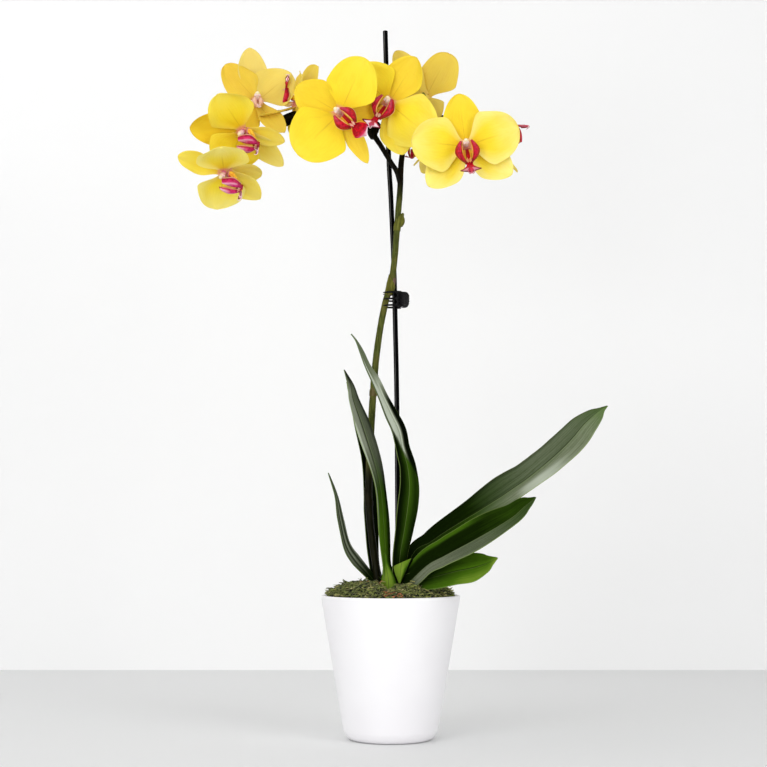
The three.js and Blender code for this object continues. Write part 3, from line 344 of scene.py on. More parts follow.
def even(pts, n):
    """The curve through pts, at n even steps of length. Columns after the third go along."""
    fine = catmull(pts, len(pts) * 10 + 1)
    length = np.r_[0, np.cumsum(np.linalg.norm(np.diff(fine[:, :3], axis=0), axis=1))]
    s = np.linspace(0, length[-1], n)
    return np.stack([np.interp(s, length, fine[:, c]) for c in range(fine.shape[1])], 1)


# ------------------------------------------------------------------ meshes
class Part:
    """Points, faces and point values of one closed surface, in millimetres."""

    def __init__(self, V, F, attrs=None, mat=0):
        self.V = np.asarray(V, float)
        self.F = [list(map(int, f)) for f in F]
        self.A = {k: np.broadcast_to(np.asarray(v, float), (len(self.V),)).copy() for k, v in (attrs or {}).items()}
        self.mat = mat

    def moved(self, R=None, at=(0, 0, 0), s=1.0):
        V = self.V * s
        if R is not None:
            V = V @ np.asarray(R).T
        p = Part(V + np.asarray(at, float), [], None, self.mat)
        p.F, p.A = self.F, dict(self.A)
        return p

    def set(self, **kw):
        for k, v in kw.items():
            self.A[k] = np.broadcast_to(np.asarray(v, float), (len(self.V),)).copy()
        return self


def piece(name, parts, mats, nodes=(), body="plant", smooth=True):
    """One object from several closed surfaces. It stands for the CAD nodes named."""
    V = np.concatenate([p.V for p in parts]) * 0.001
    faces, index, base = [], [], 0
    for p in parts:
        faces += [[i + base for i in f] for f in p.F]
        index += [p.mat] * len(p.F)
        base += len(p.V)
    me = bpy.data.meshes.new(name)
    me.from_pydata(V.tolist(), [], faces)
    for m in mats:
        me.materials.append(m)
    me.polygons.foreach_set("material_index", index)
    me.polygons.foreach_set("use_smooth", [smooth] * len(faces))
    names = sorted({k for p in parts for k in p.A})
    for k in names:
        values = np.concatenate([p.A.get(k, np.zeros(len(p.V))) for p in parts]).astype(np.float32)
        me.attributes.new(k, "FLOAT", "POINT").data.foreach_set("value", values)
    me.update()
    ob = bpy.data.objects.new(name, me)
    bpy.context.scene.collection.objects.link(ob)
    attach(ob, body)
    if nodes:
        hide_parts(*nodes)
    return ob


def shell(P, T, attrs=None, mat=0, u=None, v=None):
    """A thin closed skin round a grid of points P (a, b, 3), T thick, with a rounded edge. side is 1 on the face that looks along v x u."""
    a, b = P.shape[:2]
    T = np.broadcast_to(np.asarray(T, float), (a, b))
    du, dv = np.gradient(P, axis=0), np.gradient(P, axis=1)
    N = np.cross(dv, du)
    bad = np.linalg.norm(N, axis=-1) < 1e-7
    for i in np.argwhere(bad.any(1)).ravel():
        j = i - 1 if i > a // 2 else i + 1
        N[i] = N[j]
    N = nrm(N)
    top, low = P + N * T[..., None] / 2, P - N * T[..., None] / 2
    loop = [(0, j) for j in range(b)] + [(i, b - 1) for i in range(1, a)] + [(a - 1, j) for j in range(b - 2, -1, -1)] + [(i, 0) for i in range(a - 2, 0, -1)]
    rim = []
    for i, j in loop:
        ii, jj = min(max(i, 1), a - 2), min(max(j, 1), b - 2)
        o = P[i, j] - P[ii, jj]
        l = np.linalg.norm(o)
        o = o / l if l > 1e-6 else P[i, j] * 0
        rim.append(P[i, j] + o * min(T[i, j] * 0.42, 0.6))
    V = np.concatenate([top.reshape(-1, 3), low.reshape(-1, 3), np.array(rim)])
    idx = np.arange(a * b).reshape(a, b)
    off = a * b
    A, B, C, D = idx[:-1, :-1].ravel(), idx[1:, :-1].ravel(), idx[1:, 1:].ravel(), idx[:-1, 1:].ravel()
    F = np.concatenate([np.stack([A, D, C, B], 1), np.stack([A, B, C, D], 1) + off]).tolist()
    n = len(loop)
    for k in range(n):
        m = (k + 1) % n
        i0, i1 = idx[loop[k]], idx[loop[m]]
        r0, r1 = 2 * off + k, 2 * off + m
        F.append([i1, i0, r0, r1])
        F.append([r1, r0, i0 + off, i1 + off])
    at = {}
    uu = np.linspace(0, 1, a) if u is None else u
    vv = np.linspace(-1, 1, b) if v is None else v
    grids = {"u": np.repeat(uu[:, None], b, 1), "v": np.repeat(vv[None], a, 0)}
    grids.update({k: np.broadcast_to(np.asarray(x, float), (a, b)) for k, x in (attrs or {}).items()})
    for k, g in grids.items():
        at[k] = np.concatenate([g.ravel(), g.ravel(), np.array([g[i, j] for i, j in loop])])
    at["side"] = np.concatenate([np.ones(off), np.zeros(off), np.full(n, 0.5)])
    return Part(V, F, at, mat)


def rod(pts, radii, sides=16, mat=0, attrs=None, flat=1.0, cap=0.5):
    """A round rod through points, with a radius at each and domed ends. u runs along it and w round it."""
    P = np.asarray(pts, float)
    R = np.broadcast_to(np.asarray(radii, float), (len(P),)).copy()
    if cap:
        t0, t1 = nrm(P[0] - P[1]), nrm(P[-1] - P[-2])
        s = np.array([0.95, 0.7, 0.32])
        c = np.sqrt(1 - s**2)
        lead = np.array([P[0] + t0 * R[0] * cap * x for x in c[::-1]])
        tail = np.array([P[-1] + t1 * R[-1] * cap * x for x in c])
        P = np.concatenate([lead, P, tail])
        R = np.concatenate([R[0] * s[::-1], R, R[-1] * s])
    k = len(P)
    t = nrm(np.gradient(P, axis=0))
    ref = np.array([0, 0, 1.0]) if abs(t[0][2]) < 0.9 else np.array([0, 1.0, 0])
    U = np.zeros_like(P)
    u = nrm(np.cross(t[0], ref))
    for i in range(k):
        u = nrm(u - t[i] * (u @ t[i]))
        U[i] = u
    W = np.cross(t, U)
    a = np.linspace(0, 2 * np.pi, sides, endpoint=False)
    V = (P[:, None] + (U[:, None] * np.cos(a)[None, :, None] + W[:, None] * np.sin(a)[None, :, None] * flat) * R[:, None, None]).reshape(-1, 3)
    F = []
    for i in range(k - 1):
        for j in range(sides):
            m = (j + 1) % sides
            F.append([i * sides + j, i * sides + m, (i + 1) * sides + m, (i + 1) * sides + j])
    F.append(list(range(sides))[::-1])
    F.append([(k - 1) * sides + j for j in range(sides)])
    at = {"u": np.repeat(np.linspace(0, 1, k), sides), "v": np.tile(a / np.pi - 1, k), "side": np.ones(k * sides)}
    for key, val in (attrs or {}).items():
        val = np.broadcast_to(np.asarray(val, float), (len(radii),) if np.ndim(radii) else (len(pts),)) if np.ndim(val) else np.full(len(pts), float(val))
        if cap:
            val = np.concatenate([[val[0]] * 3, val, [val[-1]] * 3])
        at[key] = np.repeat(val, sides)
    return Part(V, F, at, mat)


def lathe(profile, segments=128, mat=0, at=(0, 0)):
    """A closed body of revolution from (radius, height) points that start and end on the axis."""
    p = np.asarray(profile, float)
    a = np.linspace(0, 2 * np.pi, segments, endpoint=False)
    inner = p[1:-1]
    V = np.stack([inner[:, 0][:, None] * np.cos(a) + at[0], inner[:, 0][:, None] * np.sin(a) + at[1], np.repeat(inner[:, 1][:, None], segments, 1)], -1).reshape(-1, 3)
    k = len(inner)
    V = np.concatenate([V, [[at[0], at[1], p[0, 1]], [at[0], at[1], p[-1, 1]]]])
    F = []
    for i in range(k - 1):
        for j in range(segments):
            m = (j + 1) % segments
            F.append([i * segments + j, i * segments + m, (i + 1) * segments + m, (i + 1) * segments + j])
    for j in range(segments):
        m = (j + 1) % segments
        F.append([k * segments, m, j])
        F.append([k * segments + 1, (k - 1) * segments + j, (k - 1) * segments + m])
    return Part(V, F, None, mat)


def smooth_profile(pts, corner=0.6, steps=4):
    """Rounds the corners of a (radius, height) profile."""
    pts = [np.asarray(p, float) for p in pts]
    out = [pts[0]]
    for a, b, c in zip(pts, pts[1:], pts[2:]):
        r = min(corner, 0.45 * np.linalg.norm(b - a), 0.45 * np.linalg.norm(c - b))
        p, q = b + nrm(a - b) * r, b + nrm(c - b) * r
        for k in range(steps + 1):
            t = k / steps
            out.append((1 - t) ** 2 * p + 2 * t * (1 - t) * b + t * t * q)
    out.append(pts[-1])
    return out


def plate(outline, z0, z1, bevel=0.25, mat=0):
    """A plan outline raised from z0 to z1, its long edges rounded."""
    o = np.asarray(outline, float)
    area = np.sum(o[:, 0] * np.roll(o[:, 1], -1) - np.roll(o[:, 0], -1) * o[:, 1])
    if area < 0:
        o = o[::-1]
    e = nrm(np.roll(o, -1, 0) - o)
    n = np.stack([e[:, 1], -e[:, 0]], 1)
    m = nrm(n + np.roll(n, 1, 0))
    c = np.clip(np.sum(m * n, 1, keepdims=True), 0.5, 1)
    rings = []
    for z, inset in ((z0, bevel), (z0 + bevel * 0.3, bevel * 0.3), (z0 + bevel, 0), (z1 - bevel, 0), (z1 - bevel * 0.3, bevel * 0.3), (z1, bevel)):
        q = o - m / c * inset
        rings.append(np.c_[q, np.full(len(q), z)])
    V = np.concatenate(rings)
    k = len(o)
    F = []
    for i in range(5):
        for j in range(k):
            l = (j + 1) % k
            F.append([i * k + j, i * k + l, (i + 1) * k + l, (i + 1) * k + j])
    F.append(list(range(k))[::-1])
    F.append([5 * k + j for j in range(k)])
    return Part(V, F, None, mat)


def ball(c, r, sx=1.0, sy=1.0, sz=1.0, n=14, mat=0, attrs=None):
    th = np.linspace(0, np.pi, n)
    p = lathe([(r * math.sin(t), -r * math.cos(t)) if 0 < i < n - 1 else (0, -r * math.cos(t)) for i, t in enumerate(th)], 2 * n, mat)
    p.V = p.V * [sx, sy, sz] + np.asarray(c, float)
    p.set(u=0.5, v=0.0, side=1.0)
    if attrs:
        p.set(**attrs)
    return p


# ------------------------------------------------------------------ materials
def srgb(r, g, b):
    return tuple(((c / 255) / 12.92 if c / 255 <= 0.04045 else ((c / 255 + 0.055) / 1.055) ** 2.4) for c in (r, g, b)) + (1.0,)


class Mat:
    """A Principled material put together from procedural nodes."""

    def __init__(self, name, rough=0.5, spec=0.5, **kw):
        self.m = bpy.data.materials.new(name)
        self.m.use_nodes = True
        self.nt = self.m.node_tree
        self.nt.nodes.clear()
        self.out = self.nt.nodes.new("ShaderNodeOutputMaterial")
        self.b = self.nt.nodes.new("ShaderNodeBsdfPrincipled")
        self.nt.links.new(self.b.outputs[0], self.out.inputs[0])
        self.b.inputs["Roughness"].default_value = rough
        self.b.inputs["Specular IOR Level"].default_value = spec
        for k, v in kw.items():
            self.b.inputs[k.replace("_", " ")].default_value = v
        self.coord = None

    def put(self, sock, val):
        if isinstance(val, bpy.types.NodeSocket):
            self.nt.links.new(val, sock)
        else:
            sock.default_value = val

    def attr(self, name):
        n = self.nt.nodes.new("ShaderNodeAttribute")
        n.attribute_name = name
        return n.outputs["Fac"]

    def pos(self):
        if self.coord is None:
            self.coord = self.nt.nodes.new("ShaderNodeTexCoord").outputs["Object"]
        return self.coord

    def math(self, op, a, b=0.0, clamp=False):
        n = self.nt.nodes.new("ShaderNodeMath")
        n.operation = op
        n.use_clamp = clamp
        self.put(n.inputs[0], a)
        self.put(n.inputs[1], b)
        return n.outputs[0]

    def span(self, x, lo, hi, a=0.0, b=1.0, kind="SMOOTHSTEP"):
        n = self.nt.nodes.new("ShaderNodeMapRange")
        n.interpolation_type = kind
        for k, v in zip(("From Min", "From Max", "To Min", "To Max"), (lo, hi, a, b)):
            n.inputs[k].default_value = v
        self.put(n.inputs["Value"], x)
        return n.outputs["Result"]

    def vec(self, x, y, z=0.0):
        n = self.nt.nodes.new("ShaderNodeCombineXYZ")
        for s, v in zip(n.inputs, (x, y, z)):
            self.put(s, v)
        return n.outputs[0]

    def noise(self, scale, detail=3.0, vector=None, rough=0.55):
        n = self.nt.nodes.new("ShaderNodeTexNoise")
        n.inputs["Scale"].default_value = scale
        n.inputs["Detail"].default_value = detail
        n.inputs["Roughness"].default_value = rough
        self.put(n.inputs["Vector"], vector if vector is not None else self.pos())
        return n.outputs["Fac"]

    def voronoi(self, scale, vector=None, feature="F1"):
        n = self.nt.nodes.new("ShaderNodeTexVoronoi")
        n.feature = feature
        n.inputs["Scale"].default_value = scale
        self.put(n.inputs["Vector"], vector if vector is not None else self.pos())
        return n.outputs["Distance"]

    def mix(self, f, a, b, blend="MIX"):
        n = self.nt.nodes.new("ShaderNodeMix")
        n.data_type = "RGBA"
        n.blend_type = blend
        self.put(n.inputs[0], f)
        self.put(n.inputs[6], a)
        self.put(n.inputs[7], b)
        return n.outputs[2]

    def ramp(self, f, stops):
        n = self.nt.nodes.new("ShaderNodeValToRGB")
        el = n.color_ramp.elements
        while len(el) < len(stops):
            el.new(0.5)
        for e, (p, c) in zip(el, stops):
            e.position, e.color = p, c
        self.put(n.inputs[0], f)
        return n.outputs[0]

    def bump(self, height, strength, distance):
        n = self.nt.nodes.new("ShaderNodeBump")
        n.inputs["Strength"].default_value = strength
        n.inputs["Distance"].default_value = distance
        self.put(n.inputs["Height"], height)
        self.nt.links.new(n.outputs[0], self.b.inputs["Normal"])

    def color(self, c):
        self.put(self.b.inputs["Base Color"], c)
        return self

    def rough(self, r):
        self.put(self.b.inputs["Roughness"], r)
        return self


def tepal_material(name, petal):
    m = Mat(name, rough=0.58, spec=0.18, Subsurface_Weight=0.22, Subsurface_Scale=0.0018, Sheen_Weight=0.05, Sheen_Roughness=0.4)
    m.b.inputs["Subsurface Radius"].default_value = (1.0, 0.72, 0.18)
    m.b.inputs["Sheen Tint"].default_value = (1.0, 0.95, 0.7, 1)
    u, v, side, seed, pale, blush, gold, lemon = [m.attr(k) for k in ("u", "v", "side", "seed", "pale", "blush", "gold", "lemon")]
    av = m.math("ABSOLUTE", v)
    # deeper gold towards the claw is painted shade round the column
    front = m.ramp(u, [(0.0, srgb(204, 164, 16)), (0.14, srgb(234, 198, 24)), (0.34, srgb(244, 216, 42)), (0.75, srgb(246, 221, 54)), (1.0, srgb(247, 223, 68))])
    # soft cloudy variation, larger than the veins
    cloud = m.noise(2.6, 2.0, m.vec(m.math("MULTIPLY", u, 1.3), v, seed))
    front = m.mix(m.span(cloud, 0.44, 0.72, 0.0, 0.26), front, srgb(238, 202, 28))
    # lemon-pale towards the edges
    far = m.math("MAXIMUM", m.span(u, 0.35, 1.0), m.span(av, 0.35, 1.0))
    front = m.mix(m.math("MULTIPLY", m.math("MULTIPLY", far, m.span(cloud, 0.75, 0.35, 0.7, 1.0)), lemon), front, srgb(247, 232, 138))
    # gold: painted shade, a deeper gold on tepals that lie in the shade
    front = m.mix(m.math("MULTIPLY", gold, m.span(cloud, 0.3, 0.7, 0.8, 1.0)), front, srgb(222, 182, 24))
    back = m.mix(0.5, front, srgb(220, 198, 96) if petal else srgb(214, 196, 92))
    base = m.mix(side, back, front)
    base = m.mix(m.math("MULTIPLY", pale, 0.85), base, srgb(222, 200, 116))
    # veins fan out from the claw
    fan = m.noise(2.4, 2.0, m.vec(m.math("MULTIPLY", u, 2.0), m.math("MULTIPLY", v, 1.5), seed))
    lines = m.math("ADD", m.math("MULTIPLY", v, 9.0 if petal else 6.0), m.math("MULTIPLY", fan, 2.2))
    wave = m.math("SINE", m.math("MULTIPLY", lines, 6.2832))
    vein = m.math("POWER", m.span(wave, -1.0, 1.0, 0.0, 1.0, "LINEAR"), 7.0)
    fade = m.math("MULTIPLY", m.span(u, 0.02, 0.2), m.span(u, 1.0, 0.55))
    shown = m.math("MULTIPLY", vein, fade)
    base = m.mix(m.math("MULTIPLY", shown, m.span(side, 0.0, 1.0, 0.24, 0.09, "LINEAR")), base, srgb(214, 168, 34))
    # painted shade in the groove down the middle
    groove_shade = m.math("MULTIPLY", m.span(av, 0.05, 0.0), m.span(u, 0.7, 0.1))
    base = m.mix(m.math("MULTIPLY", groove_shade, 0.42), base, srgb(176, 130, 12))
    # a flush of pink where the column stands
    heart = m.math("MULTIPLY", m.span(u, 0.11, 0.02), blush)
    base = m.mix(m.math("MULTIPLY", heart, 0.7), base, srgb(228, 138, 134))
    m.color(base)
    fine = m.noise(1500.0, 2.0)
    height = m.math("ADD", m.math("MULTIPLY", shown, -0.5), m.math("MULTIPLY", fine, 0.3))
    m.bump(height, 0.25, 0.0005)
    return m.m


def lip_material():
    m = Mat("lip_flesh", rough=0.42, spec=0.14, Subsurface_Weight=0.02, Subsurface_Scale=0.0006)
    m.b.inputs["Subsurface Radius"].default_value = (1.0, 0.25, 0.2)
    yel, whi, mag, stripe, dark = [m.attr(k) for k in ("yel", "whi", "mag", "stripe", "dark")]
    v = m.attr("v")
    n = m.noise(420.0, 3.0)
    red = m.mix(m.span(n, 0.35, 0.65), srgb(150, 0, 14), srgb(204, 4, 28))
    red = m.mix(mag, red, m.mix(m.span(n, 0.35, 0.65), srgb(196, 28, 104), srgb(216, 62, 140)))
    red = m.mix(dark, red, srgb(74, 0, 6))
    gold = m.mix(m.span(n, 0.35, 0.7), srgb(250, 204, 58), srgb(238, 158, 40))
    base = m.mix(yel, red, gold)
    base = m.mix(whi, base, srgb(250, 228, 238))
    # fine dark stripes and spots on the pale parts: partly the lip's own markings, partly painted shade in the throat
    w = m.math("SINE", m.math("MULTIPLY", m.math("ADD", m.math("MULTIPLY", v, 3.0), m.math("MULTIPLY", n, 0.5)), 6.2832))
    lines = m.math("MULTIPLY", m.span(w, 0.55, 0.9), stripe)
    base = m.mix(m.math("MULTIPLY", lines, 0.85), base, srgb(120, 60, 10))
    m.color(base)
    m.bump(m.noise(1300.0, 2.0), 0.2, 0.0003)
    return m.m


def column_material():
    m = Mat("column_flesh", rough=0.4, spec=0.3, Subsurface_Weight=0.2, Subsurface_Scale=0.0012)
    m.b.inputs["Subsurface Radius"].default_value = (1.0, 0.6, 0.5)
    mag, yel = m.attr("mag"), m.attr("yel")
    n = m.noise(500.0, 3.0)
    base = m.mix(m.span(n, 0.3, 0.75, 0.0, 0.5), srgb(252, 238, 226), srgb(248, 216, 214))
    base = m.mix(mag, base, srgb(214, 104, 150))
    base = m.mix(yel, base, srgb(248, 236, 168))
    m.color(base)
    m.bump(m.noise(1600.0, 2.0), 0.2, 0.0002)
    return m.m


def leaf_material():
    m = Mat("leaf_blade", rough=0.5, spec=0.0)
    u, v, side, seed, green, grey, line = [m.attr(k) for k in ("u", "v", "side", "seed", "green", "grey", "line")]
    av = m.math("ABSOLUTE", v)
    streak = m.noise(1.0, 3.0, m.vec(m.math("MULTIPLY", u, 3.0), m.math("MULTIPLY", v, 16.0), seed))
    big = m.noise(1.0, 3.0, m.vec(m.math("MULTIPLY", u, 7.0), m.math("MULTIPLY", v, 1.6), seed))
    # black-green in the shade to fresh green where the light comes through
    g = m.math("ADD", green, m.math("MULTIPLY", m.math("SUBTRACT", streak, 0.5), 0.22))
    g = m.math("ADD", g, m.math("MULTIPLY", m.math("SUBTRACT", big, 0.5), 0.16))
    top = m.ramp(g, [(0.0, srgb(6, 10, 3)), (0.25, srgb(18, 32, 4)), (0.5, srgb(46, 72, 14)), (0.75, srgb(72, 108, 20)), (1.0, srgb(118, 146, 48))])
    grain = m.noise(1.0, 2.0, m.vec(m.math("MULTIPLY", u, 60.0), m.math("MULTIPLY", v, 60.0), seed))
    sheen = m.mix(m.span(m.math("ADD", m.math("MULTIPLY", streak, 0.6), m.math("MULTIPLY", grain, 0.4)), 0.35, 0.65), srgb(112, 119, 96), srgb(150, 157, 134))
    # a near-white painted sheen where a turned blade catches the light
    sheen = m.mix(m.span(grey, 0.70, 1.02), sheen, srgb(184, 192, 174))
    top = m.mix(m.span(grey, 0.0, 1.0, 0.0, 1.0, "LINEAR"), top, sheen)
    under = m.mix(m.span(streak, 0.35, 0.68), srgb(74, 92, 52), srgb(98, 116, 74))
    base = m.mix(side, under, top)
    # midrib: a fine furrow in painted shade, with a painted highlight on the lip beside it
    base = m.mix(m.math("MULTIPLY", m.span(m.math("ABSOLUTE", m.math("SUBTRACT", v, 0.05)), 0.045, 0.01), 0.4), base, srgb(120, 140, 80))
    base = m.mix(m.math("MULTIPLY", m.span(av, 0.035, 0.01), 0.85), base, srgb(10, 18, 6))
    # a thin bright margin
    base = m.mix(m.math("MULTIPLY", m.span(av, 0.95, 1.0), m.math("ADD", 0.25, m.math("MULTIPLY", line, 0.7))), base, srgb(134, 156, 84))
    m.color(base)
    m.rough(m.span(big, 0.3, 0.7, 0.4, 0.54))
    fine = m.math("SINE", m.math("MULTIPLY", v, 110.0))
    height = m.math("ADD", m.math("MULTIPLY", streak, 0.9), m.math("MULTIPLY", fine, 0.12))
    height = m.math("ADD", height, m.math("MULTIPLY", m.span(av, 0.0, 0.05), 0.6))
    m.bump(height, 0.22, 0.0006)
    return m.m


def stem_material():
    m = Mat("spike_skin", rough=0.5, spec=0.06)
    u, v, dark, brown, fresh = [m.attr(k) for k in ("u", "v", "dark", "brown", "fresh")]
    pos = m.pos()
    sep = m.nt.nodes.new("ShaderNodeMapping")
    sep.inputs["Scale"].default_value = (1.0, 1.0, 0.12)
    m.nt.links.new(pos, sep.inputs["Vector"])
    streak = m.noise(620.0, 3.0, sep.outputs[0])
    big = m.noise(45.0, 2.0)
    green = m.mix(m.span(streak, 0.35, 0.7), srgb(54, 62, 20), srgb(86, 92, 40))
    green = m.mix(m.span(big, 0.45, 0.7, 0.0, 0.5), green, srgb(104, 96, 44))
    spots = m.span(m.voronoi(330.0), 0.16, 0.05)
    green = m.mix(m.math("MULTIPLY", spots, 0.35), green, srgb(150, 158, 104))
    green = m.mix(fresh, green, m.mix(m.span(streak, 0.35, 0.7), srgb(92, 88, 28), srgb(128, 126, 48)))
    wood = m.mix(m.span(streak, 0.35, 0.7), srgb(74, 54, 44), srgb(128, 102, 90))
    base = m.mix(brown, green, wood)
    # dark: the spike's own near black towards the top, and painted shade on the lower stem
    base = m.mix(dark, base, m.mix(m.span(streak, 0.4, 0.7), srgb(7, 6, 4), srgb(22, 18, 10)))
    m.color(base)
    m.bump(m.math("ADD", streak, m.math("MULTIPLY", spots, 0.4)), 0.35, 0.0005)
    return m.m


def stake_material():
    m = Mat("stake_plastic", rough=0.2, spec=0.0)
    n = m.noise(260.0, 4.0)
    black = m.mix(m.span(n, 0.3, 0.7), srgb(3, 3, 4), srgb(9, 9, 10))
    # a painted highlight: a grey streak down the front left and back right, standing for a lamp's reflection
    m.color(m.mix(m.math("MULTIPLY", m.attr("seam"), m.span(m.noise(40.0, 3.0), 0.3, 0.6, 0.55, 1.0)), black, srgb(96, 96, 95)))
    m.rough(m.span(n, 0.3, 0.7, 0.16, 0.26))
    m.bump(m.noise(90.0, 2.0), 0.12, 0.0004)
    return m.m


def clip_material():
    m = Mat("clip_plastic_black", rough=0.16, spec=0.12)
    n = m.noise(700.0, 3.0)
    m.color(m.mix(m.span(n, 0.3, 0.7), srgb(4, 4, 5), srgb(14, 14, 16)))
    m.rough(m.span(n, 0.3, 0.7, 0.16, 0.32))
    m.bump(m.noise(300.0, 2.0), 0.15, 0.0003)
    return m.m


def steel_material():
    m = Mat("clip_spring_steel", rough=0.3, spec=0.5, Metallic=1.0)
    n = m.noise(900.0, 3.0)
    m.color(m.mix(m.span(n, 0.3, 0.7), (0.42, 0.42, 0.44, 1), (0.66, 0.66, 0.68, 1)))
    m.bump(n, 0.1, 0.0001)
    return m.m


def pot_material():
    m = Mat("pot_white_glaze", rough=0.34, spec=0.42, Coat_Weight=0.12)
    m.b.inputs["Coat Roughness"].default_value = 0.22
    big = m.noise(7.0, 3.0)
    fine = m.noise(260.0, 3.0)
    base = m.mix(m.span(big, 0.35, 0.7), srgb(244, 243, 245), srgb(238, 236, 239))
    pits = m.span(m.voronoi(150.0), 0.05, 0.015)
    base = m.mix(m.math("MULTIPLY", pits, 0.25), base, srgb(214, 208, 204))
    m.color(base)
    m.rough(m.span(big, 0.3, 0.7, 0.30, 0.42))
    m.bump(m.math("ADD", m.math("MULTIPLY", big, 2.0), m.math("MULTIPLY", fine, 0.12)), 0.12, 0.0012)
    return m.m


def moss_material():
    m = Mat("moss_strand", rough=0.85, spec=0.2, Sheen_Weight=0.1)
    hue, tip, deep, red = [m.attr(k) for k in ("hue", "tip", "deep", "red")]
    n = m.noise(900.0, 2.0)
    base = m.ramp(m.math("ADD", m.math("MULTIPLY", n, 0.24), m.math("SUBTRACT", hue, 0.12)), [(0.0, srgb(38, 32, 14)), (0.2, srgb(38, 48, 12)), (0.45, srgb(68, 80, 26)), (0.7, srgb(124, 136, 58)), (0.88, srgb(164, 154, 92)), (1.0, srgb(196, 188, 132))])
    base = m.mix(m.math("MULTIPLY", tip, 0.35), base, srgb(186, 188, 118))
    # deep: painted shade at the strands' feet and on the bed under them
    base = m.mix(deep, base, srgb(16, 16, 6))
    base = m.mix(red, base, m.mix(m.span(n, 0.3, 0.7), srgb(120, 50, 24), srgb(206, 136, 92)))
    m.color(base)
    m.bump(n, 0.4, 0.0005)
    return m.m


def bark_material():
    m = Mat("bark_chips", rough=0.9, spec=0.2)
    cell = m.voronoi(110.0)
    n = m.noise(300.0, 4.0)
    m.color(m.mix(m.span(m.math("ADD", cell, m.math("MULTIPLY", n, 0.4)), 0.3, 0.9), srgb(52, 32, 20), srgb(120, 84, 54)))
    m.bump(m.math("ADD", cell, n), 0.6, 0.003)
    return m.m


# ------------------------------------------------------------------ the parts of a flower
def tepal(spec, seed, nu=44, nv=34):
    """A petal or sepal in the flower's own frame: x right, y away from the viewer, z up."""
    kind, ang, L, W, tilt, bend, cup, ruf = spec
    k = KIND[kind]
    th = rad(ang)
    a, b, f = np.array([math.sin(th), 0, math.cos(th)]), np.array([math.cos(th), 0, -math.sin(th)]), np.array([0, -1.0, 0])
    us = np.sin(np.linspace(0, 1, nu + 1) * np.pi / 2) ** 1.15
    us[-1] = 0.9995
    t = np.linspace(-1, 1, nv + 1)
    vs = np.sign(t) * (1 - (1 - np.abs(t)) ** 1.3)
    U, Vv = np.meshgrid(us, vs, indexing="ij")
    fine = np.linspace(0, 1, 201)
    ph = rad(tilt) + rad(bend) * fine
    cx = np.r_[0, np.cumsum((np.cos(ph[1:]) + np.cos(ph[:-1])) / 2 * L / 200)]
    cf = np.r_[0, np.cumsum((np.sin(ph[1:]) + np.sin(ph[:-1])) / 2 * L / 200)]
    p = np.interp(us, fine, ph)
    c = a * (2.5 + np.interp(us, fine, cx))[:, None] + f * np.interp(us, fine, cf)[:, None]
    n = -np.sin(p)[:, None] * a + np.cos(p)[:, None] * f
    tt = np.cos(p)[:, None] * a + np.sin(p)[:, None] * f
    w = W / 2 * (k["c0"] + (1 - k["c0"]) * sstep(us / k["ur"])) * np.maximum(0, 1 - us ** k["n"]) ** k["e"]
    w2 = w[:, None]
    av = np.abs(Vv)
    right = (Vv > 0) * 1.0
    q = Vv * w2 * (1 + 0.012 * np.sin(9 * U + seed * 3 + right * 1.7) * sstep(av, 0.6, 1))
    h = cup * w2 * av**2
    h = h + ruf * av**2.5 * sstep(U / 0.5) * np.sin(seed + U * 7.5 + right * 2.1 + Vv * 1.3) * np.minimum(1, w2 / (W * 0.25))
    h = h - 0.6 * np.exp(-((Vv * w2 / 2.2) ** 2)) * sstep(U / 0.15) * (1 - U)
    # a second, softer ripple, a shallow cup each side of the midline and a rolled margin
    h = h + W * 0.012 * np.sin(seed * 1.9 + U * 4.2 + Vv * 2.6) * sstep(U / 0.4)
    h = h - W * (0.020 if kind == "petal" else 0.012) * np.exp(-(((av - 0.5) / 0.28) ** 2)) * sstep(U / 0.35)
    h = h - W * 0.020 * sstep(av, 0.8, 1) * sstep(U, 0.3, 0.7) * (0.5 + 0.5 * np.sin(seed * 2.7 + U * 6 + right * 2.4))
    # veins raise the skin a little
    h = h + 0.045 * np.sin(Vv * (9 if kind == "petal" else 6) * 2 * np.pi) * sstep(U, 0.05, 0.2) * (1 - sstep(U, 0.7, 1)) * (1 - av)
    P = c[:, None] + b * (q * (1 - 0.1 * cup * Vv**2))[..., None] + n[:, None] * h[..., None] - tt[:, None] * (k["back"] * w2 * Vv**2 * (1 - U))[..., None]
    P[..., 1] += k["y0"]
    T = k["thick"] * (1 - 0.55 * av**2) * (1 - 0.35 * U) * (1.25 - 0.25 * sstep(U / 0.2))
    T = np.minimum(T, 0.3 + 0.5 * w2)
    return shell(P, T, {"seed": seed % 7.3}, u=us, v=vs)


